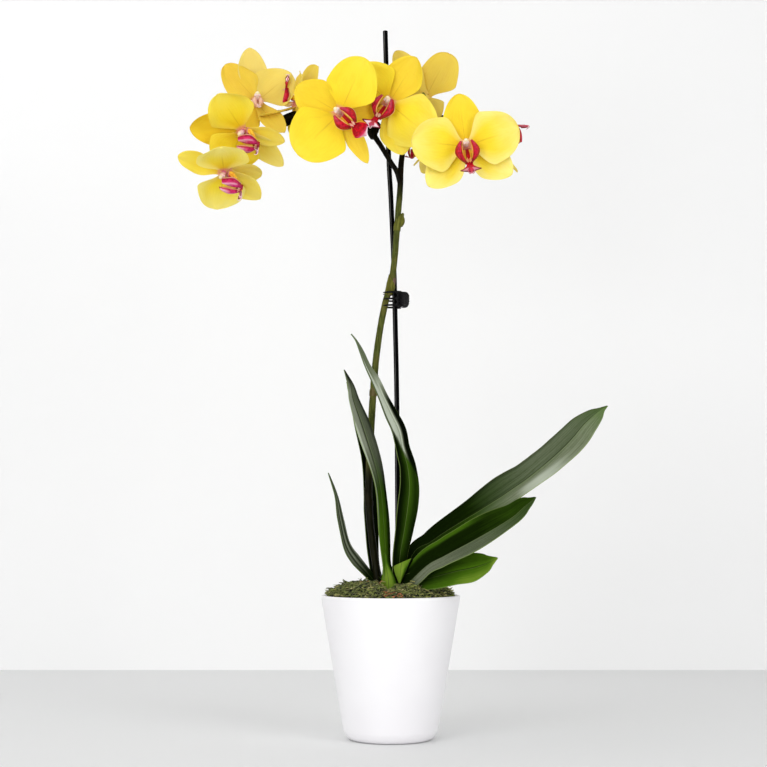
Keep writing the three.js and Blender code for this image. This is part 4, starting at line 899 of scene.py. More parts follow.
def lip_parts(spec, seed, tone):
    """A throat, two side lobes, a midlobe and a callus. tone is how violet the lobes' faces are."""
    slope, size, close, dx, dy, dz, wing, rnd = spec
    d = rad(slope)
    parts = []

    def carried(P):
        # the lip is carried out from the column's foot, more and more with its distance from it
        P = np.asarray(P, float)
        return P * size + sstep((-P[..., 1] - 3.2) / 5)[..., None] * np.array([dx, dy, dz])

    def add(P, T, u, v, **attrs):
        parts.append(shell(carried(P), T * size, attrs, u=u, v=v))

    # throat: crimson down the middle, yellow either side of it with an olive painted shade there, drawn as dark stripes
    # that are partly the lip's own markings
    u, v = np.linspace(0, 1, 30), np.linspace(-1, 1, 25)
    U, V = np.meshgrid(u, v, indexing="ij")
    w = 2.9 + 1.6 * np.sin(np.pi * U)
    av = np.abs(V)
    yellow = sstep(av, 0.30, 0.40) * sstep(U, 0.02, 0.10) * (1 - sstep(U, 0.84, 0.95))
    gap_shade = np.exp(-(((av - 0.66) / 0.11) ** 2)) * sstep(U, 0.3, 0.45) * (1 - sstep(U, 0.68, 0.82))
    add(np.stack([V * w, -3.2 - 7 * U + 1.4 * V**2 - 0.7 * np.exp(-((V / 0.28) ** 2)), -3.4 - 13.2 * U], -1), 1.5, u, v, yel=yellow, whi=0.3 * (1 - sstep(U, 0, 0.12)), mag=0.0, stripe=0.0, dark=0.1 + 0 * U)
    parts[-1].A["stripe"] = parts[-1].A["stripe"] + np.interp(np.abs(parts[-1].A["v"]), [0.5, 0.6, 0.72, 0.82], [0, 1, 1, 0]) * np.interp(parts[-1].A["u"], [0.3, 0.42, 0.7, 0.8], [0, 1, 1, 0])
    # side lobes: upright cupped blades that stand either side of the column
    u, v = np.linspace(0, 1, 44), np.linspace(-1, 1, 27)
    U, V = np.meshgrid(u, v, indexing="ij")
    for side in (-1, 1):
        xo = 2.2 + (8.4 - 1.6 * close) * np.sin(np.pi * U**0.85 * 0.80)
        xi = (1.2 + 3.4 * np.sin(np.pi * U**0.95 * 0.88)) * (1 - close) + 0.9 * close
        w = (xo - xi) / 2 * np.clip(np.sin(np.pi * (0.07 + 0.86 * U)), 0, 1) ** 0.62 * 1.12
        ripple = 0.28 * np.sin(U * 13 + seed + side) * np.abs(V) ** 2
        bulge = -2.3 * (1 - V**2) - 1.3 * np.sin(np.pi * U) + 2.3 * sstep(V)
        P = np.stack([side * ((xo + xi) / 2 + w * V), -9.6 + bulge + ripple, -16 + 19.4 * U + 0.8 * V * (U - 0.5)], -1)
        inner = sstep(-V, 0.70, 0.84) * sstep(U, 0.1, 0.25)
        outer = sstep(V, 0.86, 0.96) * 0.85
        top = sstep(U, 0.42, 0.85)
        band = np.exp(-(((V - 0.05) / 0.55) ** 2))
        # mag: the lobe's own violet (tone), and a painted highlight in a band down the middle of its upper half
        violet_and_highlight = np.clip(np.maximum(top * band * (0.22 + 0.28 * tone), tone * (0.35 + 0.65 * band)), 0, 1)
        pale = np.clip((0.12 + 0.4 * tone) * top * np.exp(-(((V + 0.25) / 0.2) ** 2)) * (0.35 + tone) + 0.45 * tone * np.exp(-(((V - 0.2 + 0.5 * (U - 0.5)) / 0.13) ** 2)) * sstep(U, 0.2, 0.4), 0, 1)
        add(P, 0.95 * (1 - 0.4 * V**2), u, v, yel=np.clip(np.maximum(inner, outer), 0, 1) * (1 - 0.55 * tone), whi=np.clip(pale + outer * 0.35 + inner * 0.15, 0, 1), mag=violet_and_highlight * (1 - 0.7 * np.maximum(inner, outer)), stripe=0.0, dark=np.clip((1 - sstep(U, 0.0, 0.35)) * 0.5 + 0.5 * sstep(np.abs(V), 0.55, 0.8) * (1 - tone * 0.4), 0, 1))
    # midlobe
    u, v = np.linspace(0, 1, 44), np.linspace(-1, 1, 27)
    U, V = np.meshgrid(u, v, indexing="ij")
    if rnd:
        w = np.interp(u, [0, 0.12, 0.3, 0.5, 0.66, 0.84, 0.95, 1], [2.0, 3.2, wing * 0.74, wing * 0.97, wing, wing * 0.78, wing * 0.42, 1.2])
    else:
        w = np.interp(u, [0, 0.35, 0.5, 0.64, 0.78, 0.88, 1], [2.0, 2.6, 2.9, wing * 0.55, wing * 1.06, wing * 0.45, 0.8])
    w = np.convolve(np.pad(w, 2, mode="edge"), np.ones(5) / 5, "valid")[:, None]
    length = 16.5 * U - 1.5
    edge = (2.6 if rnd else 1.4) * V**2 + 0.4 * np.sin(U * 11 + seed) * np.abs(V) ** 3
    keel = 0.9 * np.exp(-((V * w / 1.3) ** 2)) * sstep(U, 0.02, 0.2) * (1 - sstep(U, 0.55, 0.85))
    up = edge + keel
    # straight ahead is (0, -cos d, -sin d); up from it is (0, -sin d, cos d)
    P = np.stack([V * w, -9.6 - math.cos(d) * length - math.sin(d) * up, -16.4 - math.sin(d) * length + math.cos(d) * up], -1)
    av = np.abs(V)
    if rnd:
        white = sstep(U, 0.78, 0.97) * (0.4 + 0.6 * sstep(V, -0.4, 0.6))
        add(P, 1.15 * (1 - 0.4 * V**2), u, v, yel=0.6 * sstep(av, 0.93, 1) * (1 - sstep(U, 0.5, 0.7)), whi=white, mag=0.35 * sstep(U, 0.6, 0.85), stripe=0.0, dark=0.6 * (1 - sstep(U, 0.05, 0.3)))
    else:
        white = sstep(U, 0.5, 0.66) * sstep(av, 0.22, 0.4) * (1 - sstep(av, 0.72, 0.86)) * (1 - 0.5 * tone) + tone * 0.7 * sstep(U, 0.3, 0.6) * (1 - sstep(av, 0.0, 0.5))
        add(P, 1.15 * (1 - 0.4 * V**2), u, v, yel=0.0, whi=np.clip(white, 0, 1), mag=0.3 * sstep(U, 0.6, 0.8) + 0.3 * tone, stripe=0.0, dark=np.clip(0.5 * (1 - sstep(U, 0.0, 0.4)) + 0.8 * sstep(av, 0.78, 0.92) * sstep(U, 0.5, 0.7), 0, 1))
        # the two short tails of its tip
        tip = np.array([0, -9.6 - math.cos(d) * 14.6, -16.4 - math.sin(d) * 14.6])
        fwd, upv = np.array([0, -math.cos(d), -math.sin(d)]), np.array([0, -math.sin(d), math.cos(d)])
        for side in (-1, 1):
            pts = np.array([tip - fwd * 1.2 + [side * 0.4, 0, 0], tip + fwd * 0.9 + [side * 1.1, 0, 0], tip + fwd * 1.9 + upv * 0.8 + [side * 2.0, 0, 0], tip + fwd * 1.6 + upv * 2.3 + [side * 2.6, 0, 0], tip + fwd * 0.6 + upv * 3.1 + [side * 2.5, 0, 0]])
            parts.append(rod(carried(even(pts, 14)), np.linspace(0.62, 0.2, 14) * size, 8, attrs={"whi": 0.8, "mag": 0.3, "yel": 0, "stripe": 0, "dark": 0}))
    # callus: two shoulders and a forked beak
    for side in (-1, 1):
        c = carried(np.array([[side * 1.25, -11.0, -14.2]]))[0]
        parts.append(ball(c, 1.5 * size, 0.85, 1.1, 1.35, attrs={"yel": 0.5, "whi": 0.35, "mag": 0, "stripe": 0, "dark": 0, "u": 0.3, "v": 0.2 * side}))
        parts.append(rod(carried(even([[side * 0.8, -11.6, -14.4], [side * 1.1, -13.0, -13.4], [side * 1.5, -14.0, -12.2]], 8)), np.linspace(0.7, 0.25, 8) * size, 8, attrs={"yel": 0.6, "whi": 0.3, "mag": 0, "stripe": 0, "dark": 0}))
    return parts


def column_parts(tone):
    parts = []
    pts = even([[0, -1.1, 0.4], [0, -3.4, 1.0], [0, -6.0, 2.2], [0, -8.3, 2.9]], 26)
    R = np.interp(np.linspace(0, 1, 26), [0, 0.3, 0.6, 0.85, 1], [2.5, 2.4, 2.75, 3.0, 2.4])
    t = np.linspace(0, 1, 26)
    parts.append(rod(pts, R, 22, flat=0.92, attrs={"mag": np.clip(0.8 * np.exp(-((t / 0.35) ** 2)) + tone, 0, 1), "yel": 0}))
    # anther cap, the small wings beside the cavity and the cavity itself
    parts.append(ball((0, -8.8, 3.7), 2.0, 1.0, 1.0, 0.85, attrs={"mag": 0.5 * tone, "yel": 0.55}))
    for side in (-1, 1):
        parts.append(rod(even([[side * 2.2, -6.2, 1.6], [side * 2.4, -8.2, 1.2], [side * 1.3, -9.8, 0.4]], 10), [0.5, 0.7, 0.8, 0.85, 0.85, 0.8, 0.7, 0.6, 0.5, 0.35], 10, attrs={"mag": 0.25 + tone * 0.6, "yel": 0}))
    parts.append(ball((0, -8.7, 1.4), 1.2, 1.1, 0.9, 0.8, attrs={"mag": 0.45, "yel": 0.2}))
    return parts


# how each tepal differs from a plain lemon one: (flower, tepal) -> gold (deep, in the shade), pale (seen through, peach), lemon (pale edge)
TONE = {
    (0, 0): (0.1, 0.1, 0.2), (0, 1): (0.0, 0.35, 0.3), (0, 2): (0.0, 0.35, 0.3), (0, 3): (0.0, 0.0, 0.7), (0, 4): (0.0, 0.0, 0.7),
    (1, 0): (0.6, 0.0, 0.0), (1, 1): (0.1, 0.25, 0.3), (1, 2): (0.0, 0.3, 0.6), (1, 3): (0.0, 0.0, 0.2), (1, 4): (0.1, 0.0, 0.1),
    (2, 0): (0.4, 0.9, 0.0), (2, 1): (0.8, 0.3, 0.0), (2, 2): (0.9, 0.1, 0.0), (2, 3): (0.3, 0.7, 0.1), (2, 4): (0.95, 0.25, 0.0),
    (3, 0): (0.5, 0.2, 0.0), (3, 1): (0.35, 0.4, 0.0), (3, 2): (0.3, 0.3, 0.0), (3, 3): (0.35, 0.4, 0.0), (3, 4): (0.3, 0.2, 0.0),
    (4, 0): (0.55, 0.0, 0.0), (4, 1): (1.0, 0.0, 0.0), (4, 2): (0.55, 0.1, 0.0), (4, 3): (0.15, 0.0, 0.0), (4, 4): (0.25, 0.0, 0.0),
    (5, 0): (0.5, 0.05, 0.0), (5, 1): (0.1, 0.0, 0.2), (5, 2): (0.95, 0.0, 0.0), (5, 3): (0.0, 0.0, 0.3), (5, 4): (0.15, 0.0, 0.0),
    (6, 0): (0.9, 0.2, 0.0), (6, 1): (1.0, 0.2, 0.0), (6, 2): (0.8, 0.3, 0.0), (6, 3): (0.75, 0.0, 0.0), (6, 4): (0.9, 0.3, 0.0),
    (7, 0): (0.35, 0.0, 0.0), (7, 1): (0.0, 0.0, 1.0), (7, 2): (0.0, 0.0, 0.8), (7, 3): (0.15, 0.0, 0.9), (7, 4): (0.15, 0.0, 0.7),
}
# how violet each flower's lip and column look
VIOLET = [0.85, 0.7, 0.2, 0.1, 0.05, 0.1, 0.1, 0.15, 0.5, 0.2]
# lips that look darker (pale parts held back) or lemon and washed out: flower -> (pale, lemon)
LIP_TONE = {2: (1.0, 0.8), 7: (0.35, 0.0), 6: (0.2, 0.0), 8: (0.15, 0.0), 9: (0.15, 0.0)}


def place_flower(i, mats):
    f = FLOWERS[i]
    R, at, name = rot(f["yaw"], f["pitch"], f["roll"]), f["at"], f"flower_{i + 1}_"
    look = {"blush": 0.2 if i == 6 else 1.0}

    def put(parts):
        return [p.moved(R, at) for p in parts]

    tepals = [tepal(t, (i + 1) * 1.7 + k * 2.3) for k, t in enumerate(f["tepals"])]
    for k, p in enumerate(tepals):
        gold, pale, lemon = TONE.get((i, k), (0.3, 0.45, 0.0))
        p.set(gold=gold, pale=pale, lemon=lemon, **look)
    stalk = rod([[0, 5.3, 0], [0, 4.2, 0], [0, 3.2, 0], [0, 2.2, 0], [0, 1.4, 0]], [2.2, 3.0, 3.8, 4.1, 3.9], 20, cap=0.3, attrs={"seed": 1.0, "gold": 0.4, "pale": 0.4, "lemon": 0.0})
    stalk.set(u=0.3, v=0.5, side=0.2, **look)
    hub = rod([[0, 0.7, 0], [0, 0, 0], [0, -0.6, 0]], [3.3, 3.6, 3.2], 20, cap=0.2, attrs={"seed": 1.0, "gold": 0.2, "pale": 0.2, "lemon": 0.0})
    hub.set(u=0.02, v=0.5, side=1.0, **look)
    piece(name + "sepals_look", put(tepals[:3] + [stalk]), [mats["sepal"]], [name + "sepals"])
    piece(name + "petals_look", put(tepals[3:] + [hub]), [mats["petal"]], [name + "petals"])
    lip = lip_parts(LIPS[i], i * 1.3, VIOLET[i])
    for p in lip:
        pale, lemon = LIP_TONE.get(i, (1.0, 0.0))
        p.set(whi=np.clip(p.A["whi"] * pale + 0.5 * lemon, 0, 1), mag=p.A["mag"] * min(1.0, 0.3 + 0.7 * pale), yel=np.maximum(p.A["yel"], 0.75 * lemon), dark=p.A["dark"] * (1 - 0.8 * lemon))
    piece(name + "lip_look", put(lip), [mats["lip"]], [name + "lip"])
    piece(name + "column_look", put(column_parts(VIOLET[i] * 0.45)), [mats["column"]], [name + "column"])


# ------------------------------------------------------------------ leaves
def leaf_grid(ctrl, nu, nv):
    R = even(ctrl, nu + 1)
    P = R[:, :3]
    t = nrm(np.gradient(P, axis=0))
    side0 = nrm(np.cross(t, [0, -1.0, 0]))
    n0 = np.cross(side0, t)
    al, kk, w = np.radians(R[:, 4])[:, None], np.radians(R[:, 5]), R[:, 3]
    side = np.cos(al) * side0 - np.sin(al) * n0
    n = np.cos(al) * n0 + np.sin(al) * side0
    vs = np.linspace(-1, 1, nv + 1)
    av = np.abs(vs)[None]
    q = kk[:, None] * (1 - 0.35 * av)
    u = np.linspace(0, 1, nu + 1)
    ripple = 0.5 * np.sin(u[:, None] * 17 + vs * 2.0 + w.max()) * av**3 * np.minimum(1, w[:, None] / 10)
    X = P[:, None] + side[:, None] * (w[:, None] * vs * np.cos(q))[..., None] + n[:, None] * (w[:, None] * av * np.sin(q) + ripple - 0.35 * np.exp(-((vs[None] * w[:, None] / 0.8) ** 2)))[..., None]
    return X, u, vs, w


def leaf_look(i, U, V):
    """Where a leaf is fresh green or in painted shade, and where it carries a painted grey sheen: green, the painted
    sheen and the strength of its light margin. V is -1 at the left or upper edge.
    """
    left = sstep(-V, -0.15, 0.35)
    if i == 0:  # thin, with a painted grey sheen in stripes and a dark margin
        grey = 0.5 + 0.4 * np.sin(V * 7.5 + 1.2) - 0.5 * sstep(-V, 0.55, 0.85)
        return 0.24 + 0.10 * sstep(U, 0.5, 0.9), np.clip(grey, 0, 0.85) * sstep(U, 0.10, 0.3) * (1 - 0.5 * sstep(U, 0.75, 1.0)), 0.25
    if i == 1:  # almost black: painted shade over the whole blade
        return 0.05 + 0.10 * sstep(U, 0.05, 0.3) * np.exp(-(((V + 0.1) / 0.4) ** 2)) * (1 - sstep(U, 0.45, 0.6)) + 0.12 * sstep(U, 0.6, 0.8), 0.0 * U, 0.1
    if i == 2:  # fresh green below, a painted grey sheen above with a furrow in painted shade and a near black right margin, a painted cream highlight along its left edge
        up = sstep(U, 0.42, 0.66)
        green = 0.74 - 0.22 * sstep(U, 0.2, 0.5) - 0.34 * sstep(V, 0.3, 0.8) * (1 - 0.4 * sstep(U, 0.5, 0.8)) - 0.24 * up
        grey = up * (0.42 + 0.40 * left) * (1 - 0.75 * sstep(V, 0.45, 0.85) * sstep(U, 0.55, 0.8)) * (1 - 0.5 * sstep(U, 0.90, 0.98))
        furrow_shade = np.exp(-(((V + 0.12) / 0.10) ** 2)) * up
        black = sstep(U, 0.90, 0.98) * np.exp(-(((V - 0.15) / 0.7) ** 2))
        cream_highlight = 0.9 * np.exp(-(((V + 0.93) / 0.07) ** 2)) * sstep(U, 0.22, 0.4) * (1 - sstep(U, 0.66, 0.78))
        return np.clip(green - 0.3 * furrow_shade - 0.5 * black, 0, 1), np.clip(grey * (1 - 0.8 * furrow_shade) * (1 - black) + cream_highlight, 0, 1), 0.35
    if i == 3:  # dark green, its upper half turned over and given a pale painted sheen, with a painted white highlight by its left edge and a black right edge
        fresh = np.exp(-(((V - 0.1) / 0.42) ** 2))
        lower = 0.24 + 0.34 * fresh * sstep(U, 0.04, 0.2) + 0.16 * sstep(V, 0.45, 0.95) * sstep(U, 0.2, 0.4) - 0.2 * sstep(-V, 0.5, 0.95)
        turn = sstep(U + 0.10 * V, 0.495, 0.53)
        black = sstep(V, 0.16, 0.46) * (1 - sstep(U, 0.70, 0.80))
        green = lower * (1 - turn) + turn * (0.34 * (1 - black) + 0.12 * sstep(U, 0.75, 1.0))
        grey = turn * (0.98 - 0.52 * sstep(U, 0.74, 0.92)) * (1 - black)
        # the white line by the left edge: a painted highlight
        edge = np.exp(-(((V + 0.60) / 0.12) ** 2)) * turn * sstep(U, 0.55, 0.62) * (1 - sstep(U, 0.86, 0.95))
        dark_edge = sstep(-V, 0.80, 0.92) * turn * (1 - sstep(U, 0.80, 0.9))
        return np.clip(green - 0.5 * dark_edge, 0, 1), np.clip(grey * (1 - 0.85 * dark_edge) + 0.5 * edge, 0, 1.3), 0.2
    if i == 4:  # dark above the midrib and lighter out, a painted grey sheen under it and a fainter one above, green again at the tip
        V = V - 0.22 * (1 - sstep(U, 0.5, 0.72)) * (1 - np.abs(V))
        low = sstep(V, 0.0, 0.06)
        green = 0.16 + 0.22 * sstep(U, 0.2, 0.55) + 0.20 * sstep(U, 0.78, 1.0) - 0.10 * (1 - sstep(U, 0, 0.2)) - 0.16 * sstep(-V, 0.82, 0.97)
        green = green + low * 0.16 * sstep(U, 0.05, 0.2)
        upper_sheen = 0.40 * sstep(U, 0.36, 0.72) * (1 - 0.55 * sstep(U, 0.85, 1.0)) * (1 - 0.5 * sstep(-V, 0.75, 0.95))
        lower_sheen = (0.34 * np.exp(-(((U - 0.64) / 0.13) ** 2)) * sstep(V, 0.1, 0.6) + 0.62 * sstep(U, 0.36, 0.6)) * (1 - 0.6 * sstep(U, 0.86, 1.0))
        return green, np.clip((1 - low) * upper_sheen + low * lower_sheen, 0, 1), 0.25
    if i == 5:  # a fresh green upper margin towards its foot, dark, then a lower half with a painted grey sheen that turns green at the tip
        V = V - 0.32 * (1 - np.abs(V))
        low = sstep(V, 0.0, 0.08)
        rim = sstep(-V, 0.70, 0.88) * (1 - sstep(U, 0.50, 0.72)) * sstep(U, 0.05, 0.15)
        green = 0.20 + 0.46 * rim + 0.18 * sstep(U, 0.45, 0.9) * (1 - low * 0.4)
        grey = low * (0.34 + 0.30 * (1 - sstep(U, 0.25, 0.6))) * (1 - 0.8 * sstep(U, 0.62, 0.95)) * sstep(U, 0.05, 0.2)
        return np.clip(green + low * 0.12, 0, 1), grey, 0.3
    green = 0.40 + 0.34 * sstep(U, 0.25, 0.75) + 0.16 * sstep(V, 0.1, 0.9) - 0.2 * (1 - sstep(U, 0, 0.3)) - 0.10 * np.exp(-(((V + 0.45) / 0.3) ** 2)) + 0.2 * sstep(U, 0.9, 1.0)
    return green, 0.0 * U, 0.2


def leaf_part(i, ctrl):
    """Half widths between the control rows run along a smooth curve, and the tip is rounded to a point."""
    X, u, vs, w = leaf_grid(ctrl, 130, 28)
    T = (2.1 * (1 - 0.62 * np.abs(vs)[None] ** 1.5)) * (1 - 0.45 * u[:, None])
    T = np.minimum(T, 0.35 + 0.25 * w[:, None])
    U, V = np.meshgrid(u, vs, indexing="ij")
    green, grey, line = leaf_look(i, U, V)
    # the midrib lies below the middle of the two long leaves on the right
    if i in (4, 5):
        V = V - (0.22 * (1 - sstep(U, 0.5, 0.72)) if i == 4 else 0.32) * (1 - np.abs(V))
    return shell(X, T, {"seed": i * 1.37, "green": green, "grey": grey, "line": line, "v": V}, u=u, v=vs)


def sheath(axis, radii, phi, spread, thick=0.5, nu=22, nv=20, mat=0, attrs=None):
    """A scale that wraps a stalk: axis rows are points from its base to its tip, radii its distance from the axis there, phi the way it faces and spread its half angle there, in degrees (0 is +x, -90 the viewer)."""
    axis = np.asarray(axis, float)
    cols = [np.broadcast_to(np.asarray(x, float), (len(axis),)) for x in (radii, phi, spread)]
    A = even(np.column_stack([axis] + cols), nu + 1)
    vs = np.linspace(-1, 1, nv + 1)
    ang = np.radians(A[:, 4][:, None] + A[:, 5][:, None] * vs[None])
    t = nrm(np.gradient(A[:, :3], axis=0))
    ex = nrm(np.array([1.0, 0, 0]) - t * t[:, :1])
    ey = np.cross(t, ex)
    P = A[:, None, :3] + (ex[:, None] * np.cos(ang)[..., None] + ey[:, None] * np.sin(ang)[..., None]) * A[:, 3][:, None, None]
    u = np.linspace(0, 1, nu + 1)
    T = thick * (1 - 0.5 * vs[None] ** 2) * (1 - 0.4 * u[:, None])
    return shell(P, T, attrs, mat, u=u, v=vs)


# ------------------------------------------------------------------ the spike
def spike_parts():
    parts = []

    def stalk(rows, n, sides, dark, fresh=0.0, seed=1):
        E = even(rows, n)
        P, R = E[:, :3], E[:, 3]
        R = R * (1 + 0.025 * wob(P, 0.22, seed))
        p = rod(P, R, sides, attrs={"dark": dark(P), "fresh": fresh(P) if callable(fresh) else fresh, "brown": 0.0})
        p.V += 0.06 * wob(p.V, 1.3, seed + 3)[:, None] * np.array([1, 1, 0])
        parts.append(p)

    # near black above 494 mm, its own colour, and near black below 272 mm, painted shade
    stalk(STEM, 190, 26, lambda P: np.clip(sstep(P[:, 2], 494, 524) + 0.92 * (1 - sstep(P[:, 2], 236, 272)), 0, 1), seed=2)
    stalk(LEFT_BRANCH, 150, 22, lambda P: sstep(P[:, 2], 505, 522), seed=3)
    stalk(RIGHT_BRANCH, 60, 20, lambda P: P[:, 2] * 0 + 1.0, seed=4)
    for k, p in enumerate(PEDICELS):
        rows = [[*q, 2.0 if i == 0 else 1.9 if i == len(p) - 1 else 1.5] for i, q in enumerate(p)]
        n = 40
        s = np.linspace(0, 1, n)
        E = even(rows, n)
        parts.append(rod(E[:, :3], E[:, 3], 16, attrs={"dark": sstep(s, 0.55, 1.0) * 0.95, "fresh": 1 - sstep(s, 0.1, 0.9), "brown": 0.0}))
        # the small bract under each stalk
        q, d = E[-3, :3], nrm(E[-8, :3] - E[-2, :3])
        parts.append(sheath([q - d * 2.0 + [0, 0, -0.6], q + d * 1.0 + [0, 0, -0.6], q + d * 3.6 + [0, 0, -0.8], q + d * 6.0 + [0, 0, -1.4]], [2.3, 2.3, 2.1, 1.9], -90, [80, 70, 45, 4], attrs={"dark": 0.9, "brown": 0.3}))
    # swollen joints, each in its dry papery sheath
    def joint(P0, z0, z1, r0, phi, spread, **look):
        E = even(STEM, 400)
        zs = np.linspace(z0, z1, 7)
        axis = np.stack([np.interp(zs, E[:, 2], E[:, c]) for c in range(3)], 1)
        rs = np.interp(zs, E[:, 2], E[:, 3])
        parts.append(sheath(axis, rs + r0, phi, spread, thick=0.55, nu=30, nv=30, attrs=look))

    def bud(c, r, h, **look):
        x, y, z = c
        t = np.linspace(0, 1, 18)
        pts = np.stack([np.full(18, x), np.full(18, y), z - h + 2 * h * t], 1)
        parts.append(rod(pts, r * np.sin(np.pi * (0.12 + 0.80 * t)) ** 0.75, 20, attrs=dict({"dark": 0, "fresh": 0, "brown": 0}, **look)))

    # the joint over the clip
    bud((0.1, -2.2, 421.5), 4.05, 7.5, fresh=0.45)
    joint(0, 413.5, 432.5, np.array([0.25, 0.7, 1.15, 1.3, 1.1, 0.8, 0.5]), [215, 214, 212, 208, 203, 197, 190], [172, 168, 150, 118, 84, 48, 8], fresh=0.55)
    joint(0, 414.0, 429.5, np.array([0.35, 0.6, 0.7, 0.7, 0.6, 0.45, 0.3]), [-35, -35, -34, -32, -28, -24, -20], [80, 80, 76, 70, 60, 50, 40], brown=0.9)
    # the joint with a resting bud, above
    bud((10.1, -1.4, 485.0), 3.7, 5.6, fresh=0.5)
    joint(0, 474.5, 491.5, np.array([0.2, 0.45, 0.8, 1.3, 2.0, 2.6, 2.9]), [-30, -30, -29, -28, -27, -26, -25], [165, 150, 118, 88, 66, 46, 22], fresh=0.35)
    # the lowest joint, near black with painted shade like the stem round it
    joint(0, 214.0, 232.0, np.array([0.3, 0.5, 0.7, 0.8, 0.9, 1.0, 1.1]), [200, 200, 199, 198, 196, 193, 190], [170, 160, 132, 100, 70, 40, 6], dark=0.9, brown=0.2)
    joint(0, 318.0, 338.0, np.array([0.2, 0.35, 0.5, 0.6, 0.55, 0.5, 0.4]), [20, 20, 18, 14, 10, 6, 2], [170, 160, 130, 100, 70, 38, 6], brown=0.35)
    # the swelling where the left branch turns, and the bracts on it
    bud((-17.0, 1.5, 573.6), 5.4, 8.2, dark=1.0)
    parts.append(rod(even([[-16.6, 1.4, 568.5], [-12.6, 0.2, 575.5], [-11.2, -0.6, 579.4]], 16), np.interp(np.linspace(0, 1, 16), [0, 0.4, 1], [2.6, 3.2, 1.4]), 16, attrs={"dark": 1, "brown": 0, "fresh": 0}))
    parts.append(sheath([[-93.0, 3.4, 585.6], [-96.5, 3.2, 584.4], [-100.8, 2.6, 581.8], [-104.6, 2.0, 579.4]], [4.2, 4.6, 4.4, 3.4], -90, [150, 120, 80, 20], thick=0.6, attrs={"dark": 1.0, "brown": 0.0, "fresh": 0.0}))
    parts.append(rod(even([[-18.8, 1, 576], [-14.2, -1.6, 578.3], [-10.6, -3.4, 575.6], [-8.6, -4.2, 572.4]], 20), np.interp(np.linspace(0, 1, 20), [0, 0.3, 0.7, 1], [3.6, 3.7, 2.4, 0.7]), 18, attrs={"dark": 1, "brown": 0, "fresh": 0}))
    parts.append(rod(even([[-18.8, 1, 574], [-20.2, -1.2, 579.2], [-22.6, -2.4, 582.2], [-25.6, -3, 584.4]], 20), np.interp(np.linspace(0, 1, 20), [0, 0.3, 0.7, 1], [3.3, 3.5, 2.0, 0.5]), 18, attrs={"dark": 1, "brown": 0, "fresh": 0}))
    return parts


# ------------------------------------------------------------------ the crown: sheathing leaf bases
def patch(left, right, out, n=34, m=22, thick=1.2, attrs=None):
    """A curved skin between two edge curves, bulging towards the viewer by out."""
    A, B = even(left, n), even(right, n)
    t = np.linspace(0, 1, m)
    P = A[:, None] * (1 - t)[None, :, None] + B[:, None] * t[None, :, None]
    P[..., 1] -= np.interp(np.linspace(0, 1, n), [0, 0.4, 1], out)[:, None] * np.sin(np.pi * t)[None]
    v = 2 * t - 1
    T = thick * (1 - 0.45 * v[None] ** 2) * np.ones((n, 1))
    return shell(P, T, attrs, u=np.linspace(0, 1, n), v=v)


S1_LEFT = [[-9.4, -9.0, 136.5], [-8.9, -10.0, 142.1], [-7.8, -11.0, 149.4], [-7.1, -12.0, 156.8], [-7.4, -13.0, 164.2], [-8.0, -14.0, 171.5]]
S1_RIGHT = [[6.8, -12.0, 136.6], [5.4, -13.0, 142.2], [3.1, -13.5, 148.6], [0.3, -14.0, 155.0], [-2.2, -14.5, 161.5], [-2.8, -15.0, 168.8]]
S2_LEFT = [[7.7, -15.0, 143.2], [5.5, -15.6, 148.7], [3.9, -15.4, 153.3], [3.1, -14.6, 156.9], [3.4, -14.0, 158.7]]
S2_RIGHT = [[9.0, -18.0, 143.4], [11.8, -20.0, 149.8], [14.0, -21.0, 155.3], [16.4, -21.6, 161.2], [18.5, -21.6, 165.7]]


